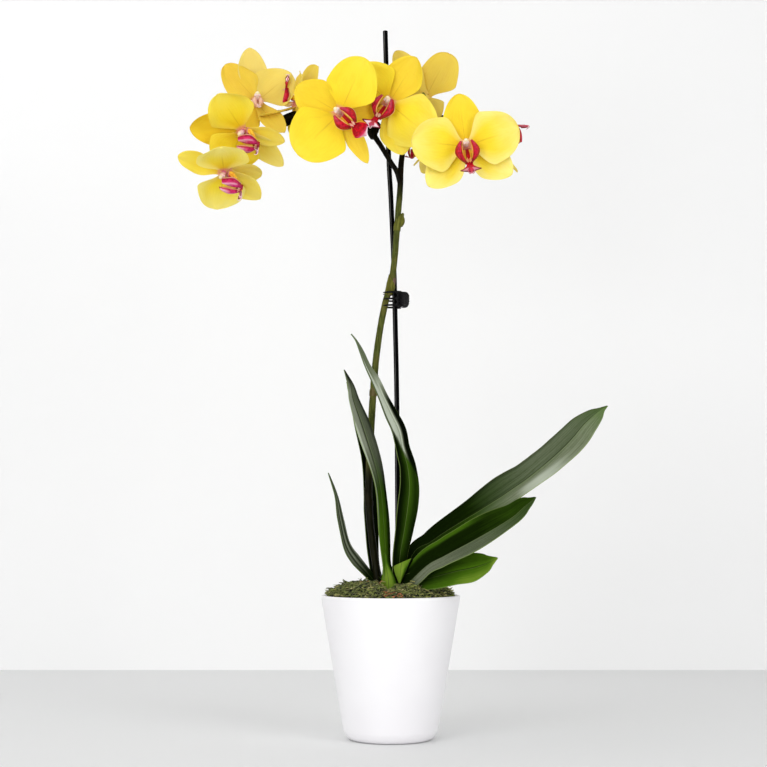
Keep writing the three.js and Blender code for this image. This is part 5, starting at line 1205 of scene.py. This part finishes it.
def crown_parts():
    P = []

    def look(green, grey=0.0):
        return {"green": green, "grey": grey, "line": 0.0, "seed": 3.1}

    # what the sheaths wrap, in the shade between them
    core = rod(even([[1, 0, 121], [1, 0, 130], [0.6, -0.4, 140], [0.2, -0.6, 148], [0, -0.6, 153]], 24), np.interp(np.linspace(0, 1, 24), [0, 0.3, 0.6, 0.85, 1], [8.6, 9.4, 8.0, 5.6, 2.6]), 28)
    core.set(**look(0.10))
    P.append(core)
    # the fresh green foot of the leaf that stands in front
    n, m = 34, 22
    u, v = np.linspace(0, 1, n)[:, None], np.linspace(-1, 1, m)[None]
    P.append(patch(S1_LEFT, S1_RIGHT, [5.2, 3.6, 1.6], n, m, 1.3, look(np.clip(1.0 - 0.30 * sstep(v, 0.35, 1.0) - 0.22 * sstep(-v, 0.55, 1.0) - 0.34 * sstep(u, 0.35, 0.95), 0, 1))))
    # the shield-shaped foot of the broad leaf on the right
    P.append(patch(S2_LEFT, S2_RIGHT, [1.4, 2.6, 2.2], n, m, 1.3, look(np.clip(1.0 - 0.55 * sstep(v, 0.2, 1.0) * (1 - sstep(u, 0.5, 1.0)) - 0.15 * sstep(u, 0.7, 1.0) * sstep(v, -0.2, 0.6), 0, 1))))
    # the side of that foot, turning back into the crown
    P.append(patch([[9.0, -18.0, 143.4], [11.8, -20.0, 149.8], [14.0, -21.0, 155.3], [16.4, -21.6, 161.2], [18.5, -21.6, 165.7]], [[10.4, -8.0, 141.0], [14.0, -8.4, 146.0], [17.4, -9.0, 151.5], [20.4, -10.0, 157.6], [22.8, -11.6, 163.4]], [-1.0, -1.0, -0.6], 30, 14, 1.1, look(0.22)))
    P.append(patch([[2.0, -4.0, 141.0], [1.0, -5.0, 147.6], [0.4, -5.4, 152.0], [0.2, -5.6, 155.6], [0.6, -5.8, 157.8]], S2_LEFT, [0.8, 0.8, 0.6], 30, 12, 1.1, look(0.12)))
    # left, back and right sheaths, in the shade
    P.append(sheath([[-1.0, 2.0, 124], [-2.6, 2.4, 135], [-5.4, 3.0, 143], [-9.0, 3.4, 149], [-13.0, 3.4, 153]], [8.6, 7.6, 5.6, 4.2, 3.0], [190, 190, 188, 186, 184], [80, 78, 70, 58, 40], thick=1.1, attrs=look(0.08)))
    P.append(sheath([[0, 5.0, 124], [-2, 8.4, 134], [-5.5, 12.5, 142], [-8.4, 15.6, 148]], [8.8, 8.0, 6.6, 5.2], [95, 98, 104, 112], [84, 80, 72, 60], thick=1.1, attrs=look(0.14)))
    P.append(sheath([[3.0, 1.0, 124], [5.4, 1.4, 133], [9.4, 1.2, 141], [14.4, 0.4, 148]], [8.4, 7.6, 6.4, 5.0], [-4, -4, -6, -8], [84, 80, 70, 54], thick=1.1, attrs=look(0.2)))
    P.append(sheath([[4.0, -4.0, 124], [7.0, -8.4, 132], [11.0, -14.0, 137.5], [16.0, -20.0, 140.0]], [7.6, 6.4, 5.0, 3.8], [-55, -54, -52, -50], [80, 74, 64, 48], thick=1.1, attrs=look(0.3)))
    return P


# ------------------------------------------------------------------ pot, stake
def wall_r(z):
    return POT_FOOT_R + (POT_TOP_R - POT_FOOT_R) * (z - 6.2) / (POT_H - 6.2)


def inner_r(z):
    return wall_r(z) - POT_WALL


def pot_part():
    prof = [(0, 0), (35.0, 0), (38.3, 0.7), (40.6, 2.6), (42.3, 5.2), (wall_r(8.4), 8.4)]
    prof += [(wall_r(z), z) for z in np.linspace(14, POT_H - 6, 24)]
    prof += [(wall_r(POT_H - 1.2), POT_H - 1.2), (wall_r(POT_H) - 1.1, POT_H), (inner_r(POT_H) + 0.9, POT_H), (inner_r(POT_H - 1.2), POT_H - 1.2)]
    prof += [(inner_r(z), z) for z in np.linspace(POT_H - 8, 16, 8)]
    prof += [(inner_r(8) - 2.5, 6.5), (inner_r(8) - 6, 5.5), (0, 5.5)]
    p = lathe(smooth_profile(prof, 1.6, 5), 180)
    # thrown and dipped by hand a little: the wall is not quite true
    r = np.hypot(p.V[:, 0], p.V[:, 1])
    a = np.arctan2(p.V[:, 1], p.V[:, 0])
    k = 1 + 0.0012 * np.sin(3 * a + p.V[:, 2] * 0.02) * sstep(p.V[:, 2], 5, 30)
    p.V[:, 0] *= k
    p.V[:, 1] *= k
    return p


def stake_part():
    rows = [[STAKE[6][0] + 0.4, STAKE[6][1], STAKE_FOOT]] + [r for r in STAKE[::-1]][:6] + [STAKE[0]]
    rows = [[STAKE[6][0] + 0.4, STAKE[6][1], STAKE_FOOT]] + STAKE[::-1]
    p = rod(even(rows, 120), np.full(120, STAKE_R), 48, cap=0.35)
    ring = p.V.reshape(-1, 48, 3)
    out = nrm(ring - ring.mean(1, keepdims=True)).reshape(-1, 3)
    # where the painted highlight streak runs, front left and back right
    seam = np.array([math.sin(rad(-28)), -math.cos(rad(-28)), 0])
    return p.set(seam=np.maximum(sstep(out @ seam, 0.984, 0.999), sstep(-(out @ seam), 0.984, 0.999)))


# ------------------------------------------------------------------ the claw clip
FRONT_TOOTH = [[9.2, -3.8], [6.5, -6.2], [3, -7.4], [-1, -7.2], [-4.5, -5.8], [-7, -3.9]]


def jaw_parts(front, knuckles):
    m = (lambda p: p) if front else (lambda p: [p[0], 2 * HINGE_Y - p[1]])
    parts = []
    # finger pad: a slightly dished paddle with a rounded outline and grip ridges
    u, v = np.linspace(0, 1, 30), np.linspace(-1, 1, 25)
    x = 8.4 + 9.1 * u
    yc = np.interp(x, [8.4, 11, 13, 15, 17.5], [-4.0, -4.0, -4.35, -5.1, -6.0])
    yc = np.convolve(np.pad(yc, 3, mode="edge"), np.ones(7) / 7, "valid")
    h = 6.4 * (1 - np.clip((x - 12.4) / 5.3, 0, 1) ** 3.2) ** 0.42
    h = np.maximum(h, 1.6)
    P = np.stack([np.repeat(x[:, None], 25, 1), yc[:, None] + 0.5 * v[None] ** 2 * u[:, None] ** 2, CLIP_Z + h[:, None] * v[None]], -1)
    T = (1.65 - 0.7 * u)[:, None] * np.ones((1, 25))
    if not front:
        P[..., 1] = 2 * HINGE_Y - P[..., 1]
    parts.append(shell(P, T, u=u, v=v))
    for xr in (12.6, 14.0, 15.4):
        hh = 6.0 * (1 - max(0, (xr - 12.4) / 5.3) ** 3.2) ** 0.42 - 0.9
        yr = float(np.interp(xr, x, yc)) - 0.62
        pts = [m([xr, yr]) + [CLIP_Z + z] for z in np.linspace(-hh, hh, 8)]
        parts.append(rod(pts, np.full(8, 0.42), 10))
    # the shoulder plate that the teeth grow out of, curved as they are
    c = even([[9.9, -3.9, 0], [9.2, -4.0, 0], [6.5, -6.3, 0], [4.4, -7.1, 0]], 16)[:, :2]
    zz = np.linspace(-7.3, 7.3, 21)
    P = np.stack([np.repeat(c[:, :1], 21, 1), np.repeat(c[:, 1:2], 21, 1), np.repeat(zz[None], 16, 0) + CLIP_Z], -1)
    # its free edge is cut back between the teeth
    s = np.linspace(0, 1, 16)[:, None]
    back = 2.2 * (0.5 - 0.5 * np.cos(zz[None] / 6.2 * 2 * np.pi)) * s**2
    P[..., 0] += back
    if not front:
        P[..., 1] = 2 * HINGE_Y - P[..., 1]
    parts.append(shell(P, 1.25 * (1 - 0.35 * s) * np.ones((1, 21))))
    for z in (-6.2, 0, 6.2):
        pts = even([m(p) + [CLIP_Z + z] for p in FRONT_TOOTH], 30)
        parts.append(rod(pts, np.interp(np.linspace(0, 1, 30), [0, 0.4, 0.75, 0.95, 1], [1.0, 0.95, 0.85, 0.5, 0.32]), 14))
    for a, b in knuckles:
        t = np.linspace(0, 2 * np.pi, 33)[:-1]
        parts.append(plate(np.stack([HINGE_X + 2.1 * np.cos(t), HINGE_Y + 2.1 * np.sin(t)], 1), CLIP_Z + a, CLIP_Z + b, 0.25))
        o = [[9.0, -4.4], [11.4, -4.4], [11.4, HINGE_Y - 1.2], [9.0, HINGE_Y - 1.2]]
        parts.append(plate([m(p) for p in o], CLIP_Z + a, CLIP_Z + b, 0.25))
    return parts


def pin_parts():
    pts = [[HINGE_X, HINGE_Y, CLIP_Z + z] for z in np.linspace(-7.6, 7.6, 6)]
    return [rod(pts, np.full(6, 0.8), 18, cap=0.2), rod([[HINGE_X, HINGE_Y, CLIP_Z + 7.3], [HINGE_X, HINGE_Y, CLIP_Z + 7.7], [HINGE_X, HINGE_Y, CLIP_Z + 8.0]], [1.45, 1.5, 1.2], 22, cap=0.15)]


def spring_part():
    turns, per = 2.5, 28
    pts = [[13, HINGE_Y - 1.35, CLIP_Z - 1.25]]
    for k in range(int(turns * per) + 1):
        a = -np.pi / 2 - 2 * np.pi * k / per
        pts.append([HINGE_X + 1.35 * math.cos(a), HINGE_Y + 1.35 * math.sin(a), CLIP_Z - 1.25 + 2.5 * k / (turns * per)])
    pts.append([13, HINGE_Y + 1.35, CLIP_Z + 1.25])
    return rod(pts, np.full(len(pts), 0.27), 8)


# ------------------------------------------------------------------ moss
MOUND = [(0, 141.0), (12, 142.0), (24, 142.8), (36, 142.0), (46, 139.4), (54, 135.8), (58.5, 131.6), (59.6, 126)]


def mound_z(x, y):
    r = np.hypot(x, y)
    rr, zz = zip(*MOUND)
    z = np.interp(r, rr, zz)
    # a dip in front of the crown
    z = z - 5.5 * np.exp(-(((x + 1) / 9) ** 2)) * sstep(-np.asarray(y, float), -4, 10) * (1 - sstep(r, 48, 57))
    return z + (1.5 * np.sin(x * 0.13 + 1) * np.cos(y * 0.11) + 0.9 * np.sin(x * 0.31 - y * 0.27)) * (1 - sstep(r, 56, 59))


def tubes(C, R, sides=4, flat=0.55, attrs=None):
    """Many small tapering strands at once: C (n, k, 3) centre points, R (n, k) radii."""
    n, k = R.shape
    t = nrm(np.gradient(C, axis=1))
    ref = nrm(RNG.normal(size=(n, 1, 3)))
    U = nrm(np.cross(t, ref))
    W = np.cross(t, U)
    a = np.linspace(0, 2 * np.pi, sides, endpoint=False)
    V = C[:, :, None] + (U[:, :, None] * np.cos(a)[:, None] + W[:, :, None] * (np.sin(a) * flat)[:, None]) * R[:, :, None, None]
    V = V.reshape(-1, 3)
    i, j = np.meshgrid(np.arange(k - 1), np.arange(sides), indexing="ij")
    m = (j + 1) % sides
    quad = np.stack([i * sides + j, i * sides + m, (i + 1) * sides + m, (i + 1) * sides + j], -1).reshape(-1, 4)
    ends = np.array([list(range(sides))[::-1], [(k - 1) * sides + q for q in range(sides)]])
    base = (np.arange(n) * k * sides)[:, None, None]
    F = np.concatenate([(quad[None] + base).reshape(-1, 4), (ends[None] + base).reshape(-1, sides)]) if sides == 4 else None
    A = {key: np.repeat(np.broadcast_to(val, (n, k)).reshape(-1), sides) for key, val in (attrs or {}).items()}
    return Part(V, F, A)


def moss_parts():
    parts = []
    # the dense bed, darkened near black as painted shade between the strands
    seg, rings = 150, 46
    r = np.r_[np.linspace(1.5, 58.5, rings - 2), 59.3, 59.9]
    a = np.linspace(0, 2 * np.pi, seg, endpoint=False)
    X, Y = r[:, None] * np.cos(a), r[:, None] * np.sin(a)
    Z = mound_z(X, Y) - 1.2
    P = np.stack([X, Y, Z], -1)
    lump = 1.0 * wob(P.reshape(-1, 3), 0.55, 11).reshape(X.shape) + 0.55 * wob(P.reshape(-1, 3), 1.5, 12).reshape(X.shape)
    Z = Z + lump * (1 - sstep(r, 55, 59.5))[:, None]
    top = np.stack([X, Y, Z], -1).reshape(-1, 3)
    low_r = np.array([59.5, 58.5])
    low = np.stack([low_r[:, None] * np.cos(a), low_r[:, None] * np.sin(a), np.array([122.0, MEDIUM_TOP + 0.2])[:, None] + 0 * a], -1).reshape(-1, 3)
    V = np.concatenate([top, low, [[0, 0, float(mound_z(0, 0)) - 1.2], [0, 0, MEDIUM_TOP + 0.2]]])
    F = []
    total = rings + 2
    for i in range(total - 1):
        for j in range(seg):
            m = (j + 1) % seg
            F.append([i * seg + j, (i + 1) * seg + j, (i + 1) * seg + m, i * seg + m])
    for j in range(seg):
        m = (j + 1) % seg
        F.append([total * seg, j, m])
        F.append([total * seg + 1, (total - 1) * seg + m, (total - 1) * seg + j])
    parts.append(Part(V, F, {"hue": 0.25, "tip": 0.0, "deep": 0.8, "red": 0.0}))
    # the strands: short, thick and curled, lying every way
    n, k = 6000, 7
    rr = 58.8 * np.sqrt(RNG.uniform(0.0, 1, n))
    th = RNG.uniform(0, 2 * np.pi, n)
    x0, y0 = rr * np.cos(th), rr * np.sin(th)
    z0 = mound_z(x0, y0) - 0.9 + RNG.uniform(-0.9, 0.7, n)
    L = RNG.uniform(3.0, 6.6, n)
    wild = RNG.uniform(0, 1, n) < 0.02
    L[wild] *= 1.3
    d = RNG.uniform(0, 2 * np.pi, n)
    h = np.stack([np.cos(d), np.sin(d), 0 * d], 1)
    sidew = np.stack([-np.sin(d), np.cos(d), 0 * d], 1)
    up = np.array([0, 0, 1.0])
    rise, curl, bendy = RNG.uniform(0.25, 1.0, n), RNG.uniform(0.6, 1.7, n), RNG.uniform(-1.3, 1.3, n)
    rise[wild] += 0.3
    s = np.linspace(0, 1, k)
    C = np.stack([x0, y0, z0], 1)[:, None] + L[:, None, None] * (
        s[None, :, None] * h[:, None] * 0.75 + up * (rise[:, None] * s - curl[:, None] * 0.6 * s**2)[..., None] + sidew[:, None] * (bendy[:, None] * (s**2) * 0.8 + 0.16 * np.sin(s * 6 + d[:, None]))[..., None]
    )
    rc = np.hypot(C[..., 0], C[..., 1])
    lim = np.where(C[..., 2] > POT_H + 0.6, 61.6, 59.9)
    k2 = np.minimum(1, lim / np.maximum(rc, 1e-6))
    C[..., 0] *= k2
    C[..., 1] *= k2
    over = (rc * k2 > 59.5) & (C[..., 2] < POT_H + 0.8)
    C[..., 2] = np.where(over & (rc * k2 > 60.4), POT_H + 0.8, C[..., 2])
    R = RNG.uniform(0.42, 0.86, n)[:, None] * np.interp(s, [0, 0.3, 0.75, 1], [0.8, 1.0, 0.85, 0.4])[None]
    patch_n = 0.5 + 0.5 * wob(np.stack([x0, y0, z0], 1), 0.085, 21)
    spot = 0.5 + 0.5 * wob(np.stack([x0, y0, z0], 1), 0.30, 22)
    hue = np.clip(0.30 + 0.16 * patch_n + 0.26 * spot + RNG.normal(0, 0.20, n) + 0.08 * sstep(x0, 10, 55), 0.02, 1)
    dry = RNG.uniform(0, 1, n) < 0.04 + 0.10 * sstep(patch_n, 0.6, 0.9) + 0.22 * sstep(x0, 38, 56)
    hue[dry] = RNG.uniform(0.80, 0.98, dry.sum())
    brown = RNG.uniform(0, 1, n) < 0.14
    hue[brown] = RNG.uniform(0.0, 0.14, brown.sum())
    # a brownish patch behind the left leaves and a few red-brown bits at the front
    red = ((np.abs(x0 - 1) < 7) & (y0 < -53) & (RNG.uniform(0, 1, n) < 0.35)) | ((np.abs(x0 + 17) < 9) & (np.abs(y0 + 6) < 16) & (RNG.uniform(0, 1, n) < 0.35))
    # the strands' feet are darkened with painted shade (deep)
    parts.append(tubes(C, R, flat=0.7, attrs={"hue": hue[:, None], "tip": (s**2)[None] * 0.9, "deep": (1 - sstep(s, 0, 0.35))[None] * 0.75, "red": red[:, None] * 0.85}))
    # one sprig that stands out at the left
    for q, (dx, dz) in enumerate([(-7.5, 5.0), (-9.0, 2.4), (-5.2, 3.4)]):
        pts = np.array([[-50.0 + q, -16.0 - q, 133.5], [-52.5 + dx * 0.4, -17.0 - q, 134.5 + dz * 0.5], [-53.0 + dx * 0.75, -18.0 - q, 134.0 + dz]])
        c = rod(even(pts, 8), np.linspace(0.9, 0.4, 8), 8, flat=0.6)
        c.set(hue=0.3 + 0.15 * q, tip=0.2, deep=0.1, red=0)
        parts.append(c)
    # chips of bark at the front
    for q in range(9):
        x, y = RNG.uniform(-6, 9), -RNG.uniform(54.5, 58.0)
        z = float(mound_z(np.array(x), np.array(y))) + RNG.uniform(-0.4, 0.8)
        d = RNG.uniform(0, np.pi)
        pts = np.array([[x, y, z]]) + np.linspace(-1, 1, 5)[:, None] * RNG.uniform(1.2, 2.6) * np.array([math.cos(d), 0.4 * math.sin(d), 0.35 * math.sin(d * 3)])
        c = rod(pts, RNG.uniform(0.7, 1.3) * np.array([0.7, 1, 1.05, 0.9, 0.6]), 8, flat=0.5)
        c.V += 0.18 * wob(c.V, 2.5, 40 + q)[:, None]
        c.set(hue=0.1, tip=0, deep=0, red=RNG.uniform(0.7, 1.0))
        parts.append(c)
    return parts


# ------------------------------------------------------------------ the plant and its pot
mats = {
    "petal": tepal_material("petal_skin", True),
    "sepal": tepal_material("sepal_skin", False),
    "lip": lip_material(),
    "column": column_material(),
    "leaf": leaf_material(),
    "stem": stem_material(),
    "stake": stake_material(),
    "clip": clip_material(),
    "steel": steel_material(),
    "pot": pot_material(),
    "moss": moss_material(),
    "bark": bark_material(),
}
for i in range(10):
    place_flower(i, mats)
for i, ctrl in enumerate(LEAVES):
    piece(f"leaf_{i + 1}_look", [leaf_part(i, ctrl)], [mats["leaf"]], [f"leaf_{i + 1}"])
piece("flower_spike_look", spike_parts(), [mats["stem"]], ["flower_spike"])
piece("crown_look", crown_parts(), [mats["leaf"]], ["crown"])
piece("pot_look", [pot_part()], [mats["pot"]], ["pot"])
piece("support_stake_look", [stake_part()], [mats["stake"]], ["support_stake"])
piece("clip_back_jaw_look", jaw_parts(False, [[-4.3, -1.9], [1.9, 4.3]]), [mats["clip"]], ["clip_back_jaw"])
piece("clip_front_jaw_look", jaw_parts(True, [[-7, -4.6], [4.6, 7]]), [mats["clip"]], ["clip_front_jaw"], body="clip_jaw")
piece("clip_pin_look", pin_parts(), [mats["steel"]], ["clip_pin"])
piece("clip_spring_look", [spring_part()], [mats["steel"]], ["clip_spring"])
piece("moss_look", moss_parts(), [mats["moss"]], ["moss"])
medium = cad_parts["growing_medium"]
medium.data.materials.clear()
medium.data.materials.append(mats["bark"])


# ------------------------------------------------------------------ floor, wall, light, camera
def flat(name, corners, material):
    me = bpy.data.meshes.new(name)
    me.from_pydata([tuple(c) for c in corners], [], [tuple(range(len(corners)))])
    me.materials.append(material)
    ob = bpy.data.objects.new(name, me)
    bpy.context.scene.collection.objects.link(ob)
    return ob


floor_m = Mat("floor_pale", rough=0.6, spec=0.25).color(FLOOR_COLOR).m
wall = Mat("wall_white", rough=0.9, spec=0.1).color((0.93, 0.93, 0.93, 1))
wall_m = wall.m
# the backdrop has no back: it is see-through from behind
geo, clear, mixed = (wall.nt.nodes.new(k) for k in ("ShaderNodeNewGeometry", "ShaderNodeBsdfTransparent", "ShaderNodeMixShader"))
wall.nt.links.new(geo.outputs["Backfacing"], mixed.inputs[0])
wall.nt.links.new(wall.b.outputs[0], mixed.inputs[1])
wall.nt.links.new(clear.outputs[0], mixed.inputs[2])
wall.nt.links.new(mixed.outputs[0], wall.out.inputs[0])
WALL_Y = 0.648
flat("floor", [(-6, -6, 0), (6, -6, 0), (6, WALL_Y, 0), (-6, WALL_Y, 0)], floor_m)
flat("wall", [(-6, WALL_Y, 0), (6, WALL_Y, 0), (6, WALL_Y, 6), (-6, WALL_Y, 6)], wall_m)

scene = bpy.context.scene
world = bpy.data.worlds.new("soft_room")
world.use_nodes = True
scene.world = world
bg = world.node_tree.nodes["Background"]
bg.inputs[0].default_value = (1, 1, 1, 1)
bg.inputs[1].default_value = WORLD


def area(name, at, towards, size, energy, size_y=None):
    from mathutils import Vector

    d = bpy.data.lights.new(name, "AREA")
    d.shape = "RECTANGLE"
    d.size, d.size_y, d.energy = size, size_y or size, energy
    ob = bpy.data.objects.new(name, d)
    ob.location = at
    ob.rotation_euler = (Vector(towards) - Vector(at)).to_track_quat("-Z", "Y").to_euler()
    scene.collection.objects.link(ob)
    return ob


for spec in LIGHTS:
    area(*spec)

cam = bpy.data.cameras.new("photo_view")
cam.lens, cam.sensor_width = 70.0, 36.0
cam_ob = bpy.data.objects.new("photo_view", cam)
cam_ob.location = (-0.0066, -1.4, 0.198)
cam_ob.rotation_euler = (rad(90 + 5.352), 0, 0)
scene.collection.objects.link(cam_ob)
scene.camera = cam_ob
scene.view_settings.view_transform = "Standard"
scene.view_settings.look = "None"
